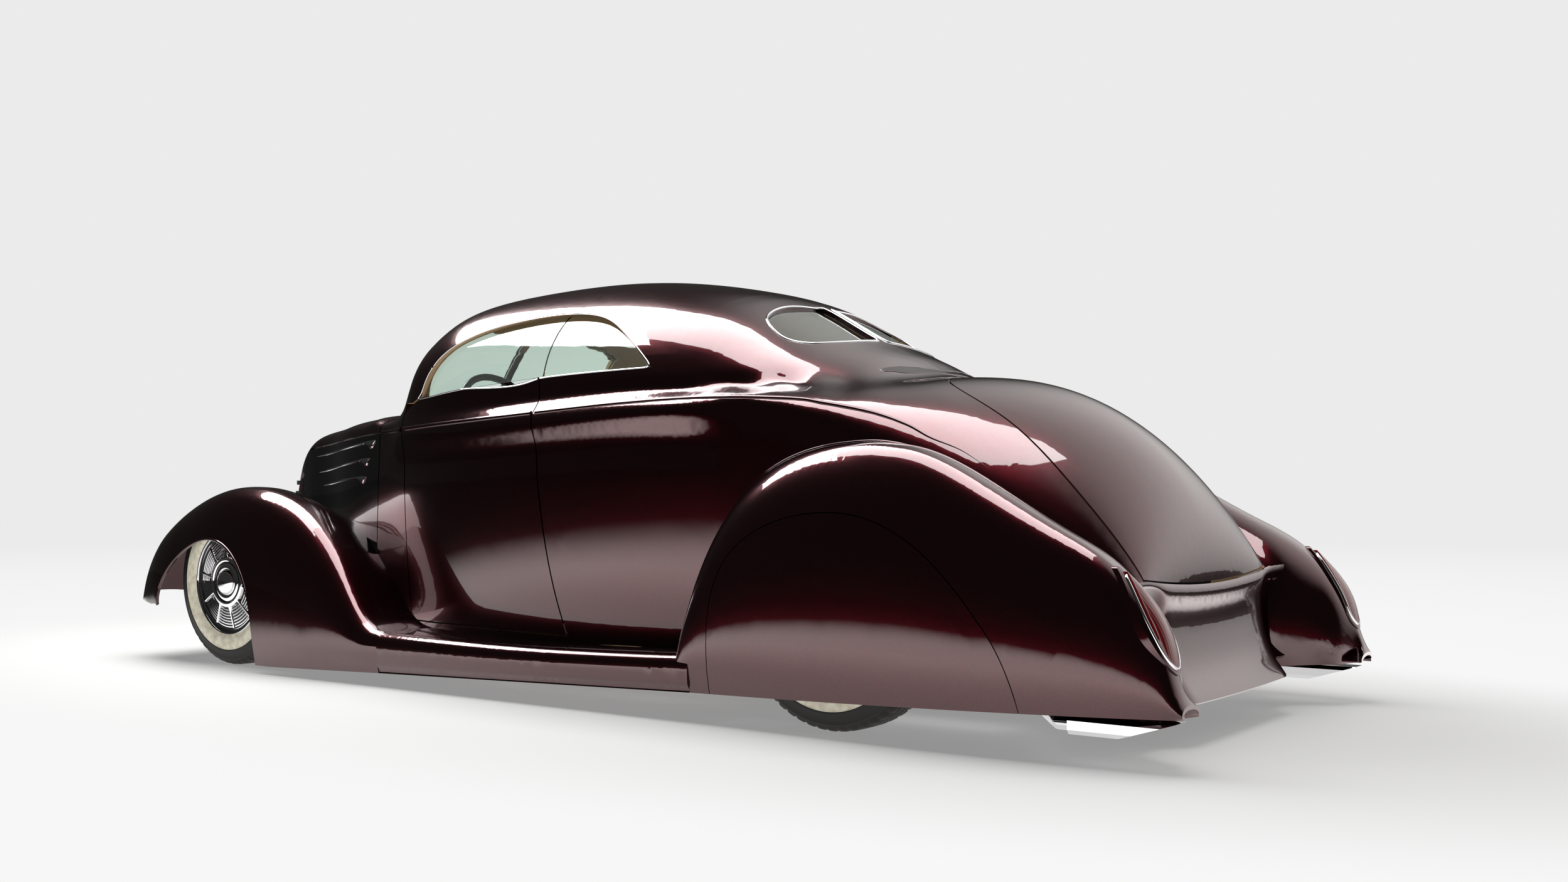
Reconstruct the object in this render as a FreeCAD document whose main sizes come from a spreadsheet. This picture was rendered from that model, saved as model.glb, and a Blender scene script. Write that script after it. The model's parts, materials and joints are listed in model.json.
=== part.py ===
# Chopped two-door hot rod coupe with full fenders, rear skirts and a fastback tail.
#
# The car stands on the ground plane, +X forward, +Y to its left, +Z up. A station is a distance
# behind the front axle. The body is one curved skin, drawn as sections along the car, and cut
# into the panels that meet at the real shut lines.
import FreeCAD, Part
import math
import os
from types import SimpleNamespace

import Sketcher

SIZES = [
    ("wheelbase", 2845, "front axle to rear axle"),
    ("front_overhang", 600, "front axle to the front fender's lip"),
    ("rear_overhang", 1085, "rear axle to the rear fender's tail"),
    ("body_height", 1440, "ground to the top of the roof"),
    ("body_half_width", 745, "half the body's width at the belt"),
    ("fender_reach", 125, "how far the rear fenders stand out beyond the body's belt"),
    ("fender_clearance", 48, "tyre's top to the crown of the front fender"),
    ("rocker_front", 30, "height of the lower edge at the front fender"),
    ("rocker_rear", 115, "height of the lower edge at the tail"),
    ("door_wall", 62, "thickness of doors and body sides"),
    ("roof_wall", 30, "thickness of the roof with its lining"),
    ("panel_wall", 16, "thickness of hood, deck and nose with their ribs"),
    ("fender_wall", 11, "thickness of fenders and running boards with their flanges"),
    ("glass_wall", 6, "thickness of the glass"),
    ("glass_inset", 16, "depth of the glass below the outer skin"),
    ("shut_gap", 6, "gap round doors and lids"),
    ("seam_gap", 3, "gap at fixed panel seams"),
    ("seat_gap", 0.3, "gap between pieces that rest on each other"),
    ("door_front", 860, "station of the door's front edge"),
    ("door_length", 812, "door's front edge to its rear edge at the belt"),
    ("door_sill", 212, "height of the door's lower edge"),
    ("tyre_radius", 325, "outer radius of the tyres"),
    ("tyre_width", 172, "width of the tyre's section"),
    ("tread_width", 140, "width of the tread"),
    ("tyre_wall", 14, "thickness of the tyre's carcass"),
    ("rim_radius", 190, "radius of the rim's bead seat"),
    ("rim_flange", 16, "height of the rim's flange above the bead seat"),
    ("rim_width", 150, "width between the rim's flanges"),
    ("rim_wall", 5, "thickness of the rim and disc"),
    ("wheel_inset", 200, "rear fender's outer side to the tyre's middle"),
    ("cap_radius", 62, "radius of the wheel cover's centre cap"),
    ("cap_height", 34, "height of the centre cap"),
    ("fin_width", 9, "width of the wheel cover's fins at the cap"),
    ("fin_height", 5, "height of the wheel cover's fins"),
    ("hub_radius", 34, "outer radius of the wheel's hub"),
    ("spindle_radius", 18, "radius of the spindles"),
    ("running_clearance", 0.3, "radial clearance of turning fits"),
    ("kingpin_inset", 90, "tyre's middle to the kingpin"),
    ("kingpin_radius", 11, "radius of the kingpins"),
    ("eye_radius", 24, "radius of the axle's eyes"),
    ("eye_height", 58, "height of the axle's eyes"),
    ("beam_height", 52, "height of the front axle's beam"),
    ("beam_width", 38, "width of the front axle's beam"),
    ("axle_drop", 110, "drop of the front axle's middle below the wheel centre"),
    ("rear_tube_radius", 38, "radius of the rear axle's tube"),
    ("diff_radius", 120, "radius of the differential housing"),
    ("drum_radius", 138, "radius of the brake drums"),
    ("drum_width", 48, "width of the brake drums"),
    ("rail_offset", 370, "half the distance between the frame rails"),
    ("rail_width", 56, "width of a frame rail"),
    ("rail_height", 80, "height of a frame rail"),
    ("rail_low", 96, "height of the rails' lower face between the axles"),
    ("rail_kick", 440, "height of the rails' lower face over the rear axle"),
    ("floor_wall", 8, "thickness of the floor"),
    ("tub_radius", 378, "radius of the wheel tubs"),
    ("tub_clearance", 28, "tyre's inner side to the side wall of the wheel tub"),
    ("steering_radius", 190, "radius of the steering wheel's ring"),
    ("steering_tube", 13, "radius of the ring's section"),
    ("pipe_radius", 26, "radius of the exhaust pipes"),
    ("tip_height", 24, "half the height of the exhaust tips"),
    ("tip_width", 46, "half the width of the exhaust tips"),
    ("tip_level", 98, "height of the exhaust tips' middle"),
    ("overrun", 60, "how far cutting shapes pass through"),
]

document = FreeCAD.newDocument("hot_rod")
sheet = document.addObject("Spreadsheet::Sheet", "sizes")
for row, (alias, value, meaning) in enumerate(SIZES, start=1):
    sheet.set(f"A{row}", str(value))
    sheet.setAlias(f"A{row}", alias)
    sheet.set(f"B{row}", meaning)
document.recompute()
mm = SimpleNamespace(**{alias: float(sheet.get(alias)) for alias, value, meaning in SIZES})

overall_length = mm.front_overhang + mm.wheelbase + mm.rear_overhang
front_axle_x = overall_length / 2 - mm.front_overhang
rear_axle_x = front_axle_x - mm.wheelbase
wheel_z = mm.tyre_radius
fender_half_width = mm.body_half_width + mm.fender_reach
fender_crown = 2 * mm.tyre_radius + mm.fender_clearance
rail_top = mm.rail_low + mm.rail_height
tub_side = fender_half_width - mm.wheel_inset - mm.tyre_width / 2 - mm.tub_clearance
V = FreeCAD.Vector


def x_at(station):
    return front_axle_x - station


class Spline:
    """Natural cubic curve through hand-chosen (share along, share up) pairs, scaled to two sizes."""

    def __init__(self, shares, along, up):
        self.at = [share * along for share, value in shares]
        self.value = [value * up for share, value in shares]
        count = len(shares)
        upper = [0.0] * count
        right = [0.0] * count
        for i in range(1, count - 1):
            before = self.at[i] - self.at[i - 1]
            after = self.at[i + 1] - self.at[i]
            rise = (self.value[i + 1] - self.value[i]) / after - (self.value[i] - self.value[i - 1]) / before
            pivot = 2 * (before + after) - before * upper[i - 1]
            upper[i] = after / pivot
            right[i] = (6 * rise - before * right[i - 1]) / pivot
        self.bend = [0.0] * count
        for i in range(count - 2, 0, -1):
            self.bend[i] = right[i] - upper[i] * self.bend[i + 1]

    def __call__(self, place):
        place = min(max(place, self.at[0]), self.at[-1])
        i = 0
        while i < len(self.at) - 2 and place > self.at[i + 1]:
            i += 1
        step = self.at[i + 1] - self.at[i]
        left = (self.at[i + 1] - place) / step
        right = 1 - left
        curve = (left**3 - left) * self.bend[i] + (right**3 - right) * self.bend[i + 1]
        return left * self.value[i] + right * self.value[i + 1] + curve * step**2 / 6


def closing(share, roundness):
    """Goes from 1 at share 0 to 0 at share 1 as a superellipse does."""
    share = min(max(share, 0.0), 1.0)
    return max(0.0, 1 - share**roundness) ** (1 / roundness)


# Body sections. Stations are shares of the wheelbase, widths of the body's half width and
# heights of the body's height.
body_start = -0.19 * mm.wheelbase
deck_start = 1.037 * mm.wheelbase
body_end = 1.300 * mm.wheelbase
tail_z = 0.292 * mm.body_height

belt_width_shares = [(-0.19, 0.04), (-0.141, 0.16), (-0.088, 0.285), (-0.035, 0.37), (0.035, 0.455),
                     (0.105, 0.57), (0.218, 0.711), (0.327, 0.832), (0.457, 0.926), (0.598, 0.98),
                     (0.738, 1.0), (0.879, 0.987), (1.019, 0.94), (1.125, 0.866), (1.23, 0.765),
                     (1.283, 0.698), (1.3, 0.671)]
belt_height_shares = [(-0.19, 0.20), (-0.141, 0.40), (-0.088, 0.52), (-0.035, 0.585), (0.035, 0.604),
                      (0.105, 0.615), (0.218, 0.630), (0.327, 0.633), (0.478, 0.647), (0.598, 0.659),
                      (0.731, 0.672), (0.844, 0.670), (0.931, 0.649), (1.019, 0.590), (1.09, 0.507),
                      (1.16, 0.417), (1.23, 0.340), (1.3, 0.292)]
crown_height_shares = [(-0.19, 0.25), (-0.141, 0.455), (-0.088, 0.575), (-0.042, 0.628), (0.035, 0.656),
                       (0.123, 0.675), (0.211, 0.6875), (0.351, 0.694), (0.562, 0.701), (0.773, 0.715),
                       (0.914, 0.728), (1.037, 0.730)]
lower_round_shares = [(-0.19, 2.0), (0.0, 3.0), (0.211, 2.8), (0.527, 2.4), (0.879, 2.2), (1.054, 1.98),
                      (1.15, 1.76), (1.3, 1.74)]
sill_rise_shares = [(-0.19, 0.0178), (-0.035, 0.0178), (0.246, -0.0072), (0.334, -0.0182),
                    (0.879, -0.0042), (1.16, 0.0168), (1.2, 0.07), (1.248, 0.138), (1.275, 0.157),
                    (1.3, 0.1608)]
tuck_shares = [(-0.19, 0.0), (0.176, 0.03), (0.334, 0.07), (0.808, 0.094), (1.054, 0.08), (1.3, 0.0)]
cabin_width_shares = [(0.236, 0.134), (0.25, 0.336), (0.264, 0.537), (0.281, 0.72), (0.300, 0.80),
                      (0.327, 0.832), (0.352, 0.852), (0.457, 0.902), (0.598, 0.94), (0.738, 0.94),
                      (0.844, 0.886), (0.914, 0.805), (0.984, 0.671), (1.054, 0.537)]
cabin_height_shares = [(0.236, 0.646), (0.25, 0.715), (0.264, 0.767), (0.281, 0.82), (0.306, 0.878),
                       (0.334, 0.927), (0.369, 0.958), (0.439, 0.984), (0.545, 1.0), (0.650, 0.990),
                       (0.738, 0.962), (0.812, 0.919), (0.896, 0.830), (0.984, 0.750), (1.054, 0.667)]
cabin_round_shares = [(0.236, 2.0), (0.281, 2.3), (0.33, 3.0), (0.38, 3.1), (0.492, 2.6), (0.668, 2.3),
                      (0.879, 2.1), (1.054, 2.0)]

belt_width = Spline(belt_width_shares, mm.wheelbase, mm.body_half_width)
belt_height = Spline(belt_height_shares, mm.wheelbase, mm.body_height)
crown_height = Spline(crown_height_shares, mm.wheelbase, mm.body_height)
lower_round = Spline(lower_round_shares, mm.wheelbase, 1)
sill_rise = Spline(sill_rise_shares, mm.wheelbase, mm.body_height)
tuck = Spline(tuck_shares, mm.wheelbase, mm.body_half_width)
cabin_width = Spline(cabin_width_shares, mm.wheelbase, mm.body_half_width)
cabin_height = Spline(cabin_height_shares, mm.wheelbase, mm.body_height)
cabin_round = Spline(cabin_round_shares, mm.wheelbase, 1)
cabin_start = cabin_width.at[0]
cabin_end = cabin_width.at[-1]
blend_power = 36
least_height = mm.seat_gap
side_points = 8
crown_points = 16
count = 30
turns = 10
last_turn = 0.99


def deck_height(station):
    if station <= deck_start:
        return crown_height(station)
    share = (station - deck_start) / (body_end - deck_start)
    return tail_z + (crown_height(deck_start) - tail_z) * closing(share, 2.0)


def reach(angle, half_width, height, roundness):
    across = math.cos(angle) / half_width
    up = math.sin(angle) / height
    return (across**roundness + up**roundness) ** (-1 / roundness)


def half_section(station):
    """Points (y, z) of the left half of a body section, from the sill up to the centre line."""
    width = belt_width(station)
    belt = belt_height(station)
    sill = min(rail_top + sill_rise(station), belt - 10 * least_height)
    lower = max(deck_height(station) - belt, 10 * least_height)
    upper = 0.0
    if cabin_start < station < cabin_end:
        upper = max(0.0, cabin_height(station) - belt)
    height = max(lower, upper)
    points = []
    for i in range(side_points):
        share = i / side_points
        points.append((width - tuck(station) * (1 - share) ** 2.2, sill + (belt - sill) * share))
    for i in range(crown_points + 1):
        angle = math.pi / 2 * i / crown_points
        across = max(math.cos(angle), 0.0)
        radius = reach(angle, 1.0, lower / height, lower_round(station))
        if upper > 10 * least_height:
            cabin = reach(angle, cabin_width(station) / width, upper / height, cabin_round(station))
            radius = (radius**blend_power + cabin**blend_power) ** (1 / blend_power)
        points.append((width * radius * across, belt + height * radius * math.sin(angle)))
    points[-1] = (0.0, points[-1][1])
    return points


def offset_line(points, depths):
    """Moves each (y, z) point of an open line to its right by its own depth."""
    moved = []
    last = len(points) - 1
    for i, (y, z) in enumerate(points):
        y0, z0 = points[max(i - 1, 0)]
        y1, z1 = points[min(i + 1, last)]
        length = math.hypot(y1 - y0, z1 - z0)
        moved.append((y - (z1 - z0) / length * depths[i], z + (y1 - y0) / length * depths[i]))
    return moved


def wall_at(station, index):
    """Wall thickness of the body: thick doors, a lined roof, thin hood and deck."""
    cabin = min(1.0, max(0.0, (station - 0.7 * mm.door_front) / (0.2 * mm.door_front)))
    tail = min(1.0, max(0.0, (0.98 * mm.wheelbase - station) / (0.2 * mm.wheelbase)))
    thick = cabin * tail
    up = min(1.0, index / (side_points + crown_points / 4))
    inside = mm.door_wall + (mm.roof_wall - mm.door_wall) * up**3
    return mm.panel_wall + (inside - mm.panel_wall) * thick


def body_stations(start, end):
    stations = [start + (deck_start - start) * i / count for i in range(count)]
    for i in range(turns + 1):
        stations.append(deck_start + (end - deck_start) * math.sin(i / turns * math.pi / 2 * last_turn))
    return stations


def body_grid(inward):
    """Skin points from the left sill over the roof to the right sill, moved in by a share of the wall."""
    margin = inward * mm.panel_wall
    outer_stations = body_stations(body_start, body_end)
    grid = []
    for station in outer_stations:
        share = (station - body_start) / (body_end - body_start)
        inner_station = body_start + margin + share * (body_end - body_start - 2 * margin)
        half = half_section(inner_station)
        if inward:
            depths = [inward * wall_at(station, i) for i in range(len(half))]
            beyond = (-half[-2][0], half[-2][1])
            half = offset_line(half + [beyond], depths + [depths[-1]])[:-1]
            half[-1] = (0.0, half[-1][1])
        full = half + [(-y, z) for y, z in reversed(half[:-1])]
        grid.append([V(x_at(inner_station), y, z) for y, z in full])
    return grid


def surface_face(grid):
    surface = Part.BSplineSurface()
    surface.interpolate(grid)
    return surface.toShape()


def edge_through(points):
    curve = Part.BSplineCurve()
    curve.interpolate(points)
    return curve.toShape()


def sewn_solid(faces):
    compound = Part.makeCompound(faces)
    compound.sewShape()
    solid = Part.makeSolid(compound.Shells[0])
    if solid.Volume < 0:
        solid.reverse()
    return solid


def border_edges(face):
    """Edges of a surface patch as first row, last row, first column, last column."""
    surface = face.Surface
    u0, u1, v0, v1 = surface.bounds()
    return [surface.uIso(u0).toShape(), surface.uIso(u1).toShape(),
            surface.vIso(v0).toShape(), surface.vIso(v1).toShape()]


def sheet_solid(outer_grid, inner_grid):
    """A wall between two grids of the same shape."""
    outer = surface_face(outer_grid)
    inner = surface_face(inner_grid)
    faces = [outer, inner]
    for outer_edge, inner_edge in zip(border_edges(outer), border_edges(inner)):
        faces.append(Part.makeRuledSurface(outer_edge, inner_edge, 1))
    return sewn_solid(faces)


def filled_solid(grid):
    """Everything under a skin whose rows start and end on its lower edges."""
    skin = surface_face(grid)
    first_row, last_row, first_column, last_column = border_edges(skin)
    underside = Part.makeRuledSurface(first_column, last_column, 1)
    ends = []
    for edge, row in ((first_row, grid[0]), (last_row, grid[-1])):
        chord = Part.LineSegment(row[-1], row[0]).toShape()
        ends.append(Part.Face(Part.Wire([edge, chord])))
    return sewn_solid([skin, underside] + ends)


def mirrored(shape):
    return shape.mirror(V(0, 0, 0), V(0, 1, 0))


# Fender sections. A fender is an arch: a crown line with an outer side that falls to the lower
# edge and an inner side that falls to the body or to the apron beside the hood.
arch_tip = 20 * mm.seat_gap
front_start = -mm.front_overhang - arch_tip
board_start = 0.352 * mm.wheelbase
rear_start = 0.8243 * mm.wheelbase
rear_end = mm.wheelbase + mm.rear_overhang
front_top_shares = [(0.028, 0.9995), (0.07, 0.9944), (0.105, 0.9696), (0.158, 0.8912), (0.211, 0.7468),
                    (0.246, 0.6189), (0.281, 0.4642), (0.316, 0.326), (0.352, 0.2703)]
front_crown_shares = [(-0.211, 0.740), (-0.105, 0.780), (0.0, 0.793), (0.105, 0.80), (0.211, 0.825),
                      (0.281, 0.865), (0.352, 0.925)]
front_outer_shares = [(-0.211, 0.845), (-0.158, 0.92), (-0.105, 0.96), (0.0, 0.98), (0.105, 0.988),
                      (0.211, 0.987), (0.352, 0.975)]
apron_height_shares = [(-0.211, 0.3404), (-0.176, 0.4539), (-0.123, 0.6808), (-0.053, 0.8252),
                       (0.035, 0.8665), (0.105, 0.8252), (0.176, 0.6911), (0.246, 0.4642),
                       (0.299, 0.3053), (0.352, 0.2651)]
board_top_shares = [(0.352, 0.2703), (0.60, 0.2641), (0.84, 0.293)]
rear_top_shares = [(1.047, 0.580), (1.10, 0.566), (1.18, 0.496), (1.26, 0.411), (1.31, 0.352),
                   (1.338, 0.295), (1.358, 0.235), (1.372, 0.172), (1.3813, 0.118)]
rear_crown_shares = [(0.824, 0.80), (1.05, 0.80), (1.16, 0.81), (1.27, 0.842), (1.335, 0.862), (1.382, 0.870)]
rear_outer_shares = [(0.824, 0.968), (0.90, 0.985), (1.0, 1.0), (1.16, 0.998), (1.27, 0.975), (1.335, 0.95),
                     (1.382, 0.925)]
rear_inner_shares = [(0.824, 0.57), (1.12, 0.57), (1.2, 0.585), (1.27, 0.60), (1.30, 0.61), (1.335, 0.70),
                     (1.382, 0.79)]

front_top = Spline(front_top_shares, mm.wheelbase, fender_crown)
front_crown = Spline(front_crown_shares, mm.wheelbase, fender_half_width)
front_outer = Spline(front_outer_shares, mm.wheelbase, fender_half_width)
apron_height = Spline(apron_height_shares, mm.wheelbase, fender_crown)
board_top = Spline(board_top_shares, mm.wheelbase, fender_crown)
rear_top = Spline(rear_top_shares, mm.wheelbase, mm.body_height)
rear_crown = Spline(rear_crown_shares, mm.wheelbase, fender_half_width)
rear_outer = Spline(rear_outer_shares, mm.wheelbase, fender_half_width)
rear_inner = Spline(rear_inner_shares, mm.wheelbase, fender_half_width)
apron_inner = 0.24 * fender_half_width
board_inner = 0.63 * fender_half_width
arch_points = 9
redrawn_points = 24
lip_height = 0.3177 * fender_crown


def rocker_height(station):
    rise = (mm.rocker_rear - mm.rocker_front) / mm.wheelbase
    return mm.rocker_front + rise * max(0.0, station - 0.139 * mm.wheelbase)


def arch_side(crown_y, crown_z, side_y, base_z, roundness, tuck_in, straight):
    """Points from the crown down one side to the lower edge, the crown itself left out."""
    shoulder_z = base_z + straight * (crown_z - base_z)
    points = []
    for i in range(1, arch_points + 1):
        angle = math.pi / 2 * (1 - i / arch_points)
        out = math.cos(angle) ** (2 / roundness)
        up = math.sin(angle) ** (2 / roundness) if angle > 0 else 0.0
        points.append((crown_y + (side_y - crown_y) * out, shoulder_z + (crown_z - shoulder_z) * up))
    for share in (0.35, 0.7, 1.0):
        points.append((side_y - math.copysign(tuck_in, side_y - crown_y) * share**2,
                       shoulder_z + (base_z - shoulder_z) * share))
    return points


def front_base(station):
    """Lower edge of the front fender: a lip ahead of the wheel, the rocker line behind it."""
    ahead = (-0.6 * mm.tyre_radius - station) / (0.6 * mm.tyre_radius)
    ahead = min(max(ahead, 0.0), 1.0)
    return rocker_height(station) + (lip_height - rocker_height(station)) * ahead


def front_section(station):
    base = front_base(station)
    top = front_top(station)
    if station < front_top.at[0]:
        share = (front_top.at[0] - station) / (front_top.at[0] - front_start)
        top = lip_height + (top - lip_height) * closing(share, 1.75)
    crown = front_crown(station)
    outer = front_outer(station)
    apron = min(apron_height(station), top - least_height)
    inner = []
    for i in range(1, arch_points + 1):
        share = i / arch_points
        fall = 0.5 - 0.5 * math.cos(math.pi * min(1.0, share * 1.45))
        inner.append((crown + (apron_inner - crown) * share, top + (apron - top) * fall))
    rear_share = max(0.0, (station - 0.6 * board_start) / (0.4 * board_start))
    side = arch_side(crown, top, outer, base, 2.5 - 0.3 * rear_share, 0.012 * fender_half_width,
                     0.25 + 0.35 * rear_share)
    return list(reversed(inner)) + [(crown, top)] + side


def board_section(station):
    base = rocker_height(station)
    top = board_top(station)
    crown = front_crown(board_start)
    outer = front_outer(board_start)
    inner = []
    for i in range(1, arch_points + 1):
        inner.append((crown + (board_inner - crown) * i / arch_points, top))
    side = arch_side(crown, top, outer, base, 2.2, 0.012 * fender_half_width, 0.6)
    return list(reversed(inner)) + [(crown, top)] + side


def rear_section(station):
    base = rocker_height(station)
    top = rear_top(station)
    if station < rear_top.at[0]:
        share = (rear_top.at[0] - station) / (rear_top.at[0] - rear_start)
        top = base + (top - base) * closing(share, 2.5)
    crown = rear_crown(station)
    inner = arch_side(crown, top, rear_inner(station), base, 2.2, 0.0, 0.25)
    outer = arch_side(crown, top, rear_outer(station), base, 2.2, 0.014 * fender_half_width, 0.3)
    return list(reversed(inner)) + [(crown, top)] + outer


def eased_stations(start, full, end, turns, count):
    """Stations that crowd together towards a rounded start."""
    stations = [full - (full - start) * math.sin(math.pi / 2 * (1 - i / turns)) for i in range(turns)]
    return stations + [full + (end - full) * i / count for i in range(count + 1)]


def arch_grid(section, stations, depth):
    grid = []
    for station in stations:
        points = section(station)
        if depth:
            points = offset_line(points, [-depth] * len(points))
        grid.append([V(x_at(station), y, z) for y, z in points])
    return grid


def arch_sheet(section, start, full, end, turns, count):
    """Hollow arch with its wall inside the sections."""
    outer = arch_grid(section, eased_stations(start + arch_tip, full, end, turns, count), 0)
    inner = arch_grid(section, eased_stations(start + arch_tip + mm.fender_wall, full, end, turns, count),
                      mm.fender_wall)
    return sheet_solid(outer, inner)


def arch_block(section, start, full, end, turns, count):
    return filled_solid(arch_grid(section, eased_stations(start + arch_tip, full, end, turns, count), 0))


# Cutting outlines. Side outlines are (station, height) and plan outlines (station, y).
front_belt = 0.67 * mm.body_height
glass_base = 0.705 * mm.body_height
window_front = 0.346 * mm.wheelbase
window_rear = 0.745 * mm.wheelbase
door_rear = mm.door_front + mm.door_length - 0.03 * mm.door_length
hood_rear = 0.230 * mm.wheelbase
hood_front = -0.053 * mm.wheelbase
roof_split = 0.698 * mm.body_height
roof_rear = 0.773 * mm.wheelbase
quarter_split = 0.78 * mm.body_height

window_sill_shares = [(0.0, 0.0), (0.24, 0.021), (0.58, 0.037), (1.0, 0.047)]
window_top_shares = [(1.0, 0.047), (0.885, 0.117), (0.757, 0.170), (0.618, 0.189), (0.412, 0.183),
                     (0.205, 0.149), (0.057, 0.087), (0.0, 0.0)]
windshield_shares = [(0.655, 0.715), (0.625, 0.86), (0.50, 0.882), (0.0, 0.889)]
rear_window_shares = [(0.815, 0.04), (0.900, 0.04), (0.900, 0.25), (0.893, 0.45), (0.882, 0.54),
                      (0.867, 0.575), (0.849, 0.565), (0.831, 0.525), (0.820, 0.44), (0.815, 0.28)]
lid_side_shares = [(1.0385, 0.0), (1.0405, 0.24), (1.051, 0.405), (1.078, 0.49), (1.14, 0.54),
                   (1.213, 0.592), (1.32, 0.635)]
arch_shares = [(-1.38, -0.5), (-1.24, 0.62), (-1.10, 0.84), (-0.88, 1.11), (-0.60, 1.33), (-0.28, 1.475),
               (0.02, 1.515), (0.33, 1.44), (0.62, 1.225), (0.80, 0.95), (0.90, 0.62), (0.95, 0.30),
               (1.02, -0.5)]
skirt_shares = [(-1.12, -0.5), (-1.12, 0.54), (-1.10, 1.06), (-1.0, 1.42), (-0.65, 1.75), (-0.20, 1.91),
                (0.205, 1.95), (0.60, 1.90), (0.97, 1.745), (1.31, 1.50), (1.60, 1.20), (1.86, 0.85),
                (1.985, 0.56), (2.0, -0.5)]


def path_edges(paths):
    """Closed outline from lists of points: two make a straight edge, more make a smooth one."""
    edges = []
    for points in paths:
        if len(points) == 2:
            edges.append(Part.LineSegment(points[0], points[1]).toShape())
        else:
            edges.append(edge_through(points))
    return edges


def outline_face(paths):
    return Part.Face(Part.Wire(path_edges(paths)))


def side_vectors(pairs):
    return [V(x_at(station), 0, height) for station, height in pairs]


def side_face(*paths):
    """Face in the plane y = 0 from lists of (station, height)."""
    return outline_face([side_vectors(pairs) for pairs in paths])


def side_tool(face, near, far):
    """Prism of a side outline from y = near to y = far."""
    moved = face.translated(V(0, near, 0))
    return moved.extrude(V(0, far - near, 0))


def grown(face, distance):
    """Outline moved outwards by a distance, its curved edges drawn again as plain splines."""
    edges = []
    for edge in face.makeOffset2D(distance).OuterWire.OrderedEdges:
        points = edge.discretize(redrawn_points)
        if isinstance(edge.Curve, Part.Line):
            edges.append(Part.LineSegment(points[0], points[-1]).toShape())
        else:
            edges.append(edge_through(points))
    return Part.Face(Part.Wire(edges))


def station_box(start, end, half_width, low, high):
    return Part.makeBox(end - start, 2 * half_width, high - low, V(x_at(end), -half_width, low))


far_y = fender_half_width + mm.overrun
near_y = 0.4 * mm.body_half_width
window_length = window_rear - window_front
sill_line = [(window_front + along * window_length, glass_base + up * mm.body_height)
             for along, up in window_sill_shares]
window_arc = [(window_front + along * window_length, glass_base + up * mm.body_height)
              for along, up in window_top_shares]
window_face = side_face(sill_line, window_arc)

door_top_rear = (door_rear - 0.017 * mm.door_length, glass_base + 0.0375 * mm.body_height)
door_top = [(mm.door_front, front_belt), (window_front - 0.02 * window_length, glass_base - mm.seam_gap),
            sill_line[1], door_top_rear]
door_back = [door_top_rear, (door_rear + 0.012 * mm.door_length, 0.524 * mm.body_height),
             (door_rear + 0.035 * mm.door_length, 0.38 * mm.body_height),
             (door_rear + 0.115 * mm.door_length, mm.door_sill)]
door_face = side_face([(mm.door_front, mm.door_sill), (mm.door_front, front_belt)], door_top, door_back,
                      [door_back[-1], (mm.door_front, mm.door_sill)])

body_outer = filled_solid(body_grid(0.0))
body_inner = filled_solid(body_grid(1.0))
body_skin = sheet_solid(body_grid(0.0), body_grid(1.0))
window_tool = side_tool(window_face, near_y, far_y)
door_tool = side_tool(door_face, near_y, far_y)
door_opening = side_tool(grown(door_face, mm.shut_gap), near_y, far_y)


def depth_grid(depth):
    grid = []
    for station in body_stations(body_start + mm.panel_wall, body_end - mm.panel_wall):
        half = half_section(station)
        moved = offset_line(half + [(-half[-2][0], half[-2][1])], [depth] * (len(half) + 1))[:-1]
        moved[-1] = (0.0, moved[-1][1])
        full = moved + [(-y, z) for y, z in reversed(moved[:-1])]
        grid.append([V(x_at(station), y, z) for y, z in full])
    return grid


glass_layer = sheet_solid(depth_grid(mm.glass_inset), depth_grid(mm.glass_inset + mm.glass_wall))

nodes = []


def add(label, shape):
    """Keeps one sub-part of the car as an object of the document."""
    if len(shape.Solids) == 1:
        shape = shape.Solids[0]
    feature = document.addObject("Part::Feature", label)
    feature.Label = label
    feature.Shape = shape
    nodes.append(feature)
    return feature


def both_sides(label, shape):
    add(label + "_left", shape)
    add(label + "_right", mirrored(shape))


# Doors and side glass
door_panel = body_skin.common(door_tool).cut(window_tool)
both_sides("door", door_panel)
door_pane_face = grown(window_face, -mm.shut_gap)
pane_drop = V(0, 0, mm.seat_gap - mm.shut_gap)
lower_pane_face = door_pane_face.translated(pane_drop)
pane_tool = side_tool(door_pane_face, near_y, far_y).fuse(side_tool(lower_pane_face, near_y, far_y))
pane_split = door_top_rear[0]
door_glass = glass_layer.common(pane_tool).common(
    station_box(window_front - mm.overrun, pane_split, far_y, mm.door_sill, mm.body_height))
both_sides("door_glass", door_glass)
quarter_pane = glass_layer.common(side_tool(grown(window_face, -mm.seat_gap), near_y, far_y)).common(
    station_box(pane_split + mm.shut_gap, window_rear, far_y, mm.door_sill, mm.body_height))
add("quarter_glass", Part.makeCompound([quarter_pane, mirrored(quarter_pane)]))

# Windshield, two panes beside a bar
def front_paths(inset, bar):
    """Left pane's outline in the plane x = 0."""
    low = windshield_shares[0][1] * mm.body_height + inset
    points = []
    for across, up in windshield_shares[:-1]:
        points.append((across * mm.body_half_width - inset, up * mm.body_height - inset))
    points[0] = (points[0][0], low)
    top_inner = (bar, windshield_shares[-1][1] * mm.body_height - inset)
    return [[V(0, bar, low), V(0, *points[0])], [V(0, *points[0]), V(0, *points[1])],
            [V(0, *points[1]), V(0, *points[2]), V(0, *top_inner)], [V(0, *top_inner), V(0, bar, low)]]


def front_tool(inset, bar):
    face = outline_face(front_paths(inset, bar))
    start = x_at(window_front)
    return face.translated(V(start, 0, 0)).extrude(V(x_at(cabin_start) - start, 0, 0))


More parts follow.
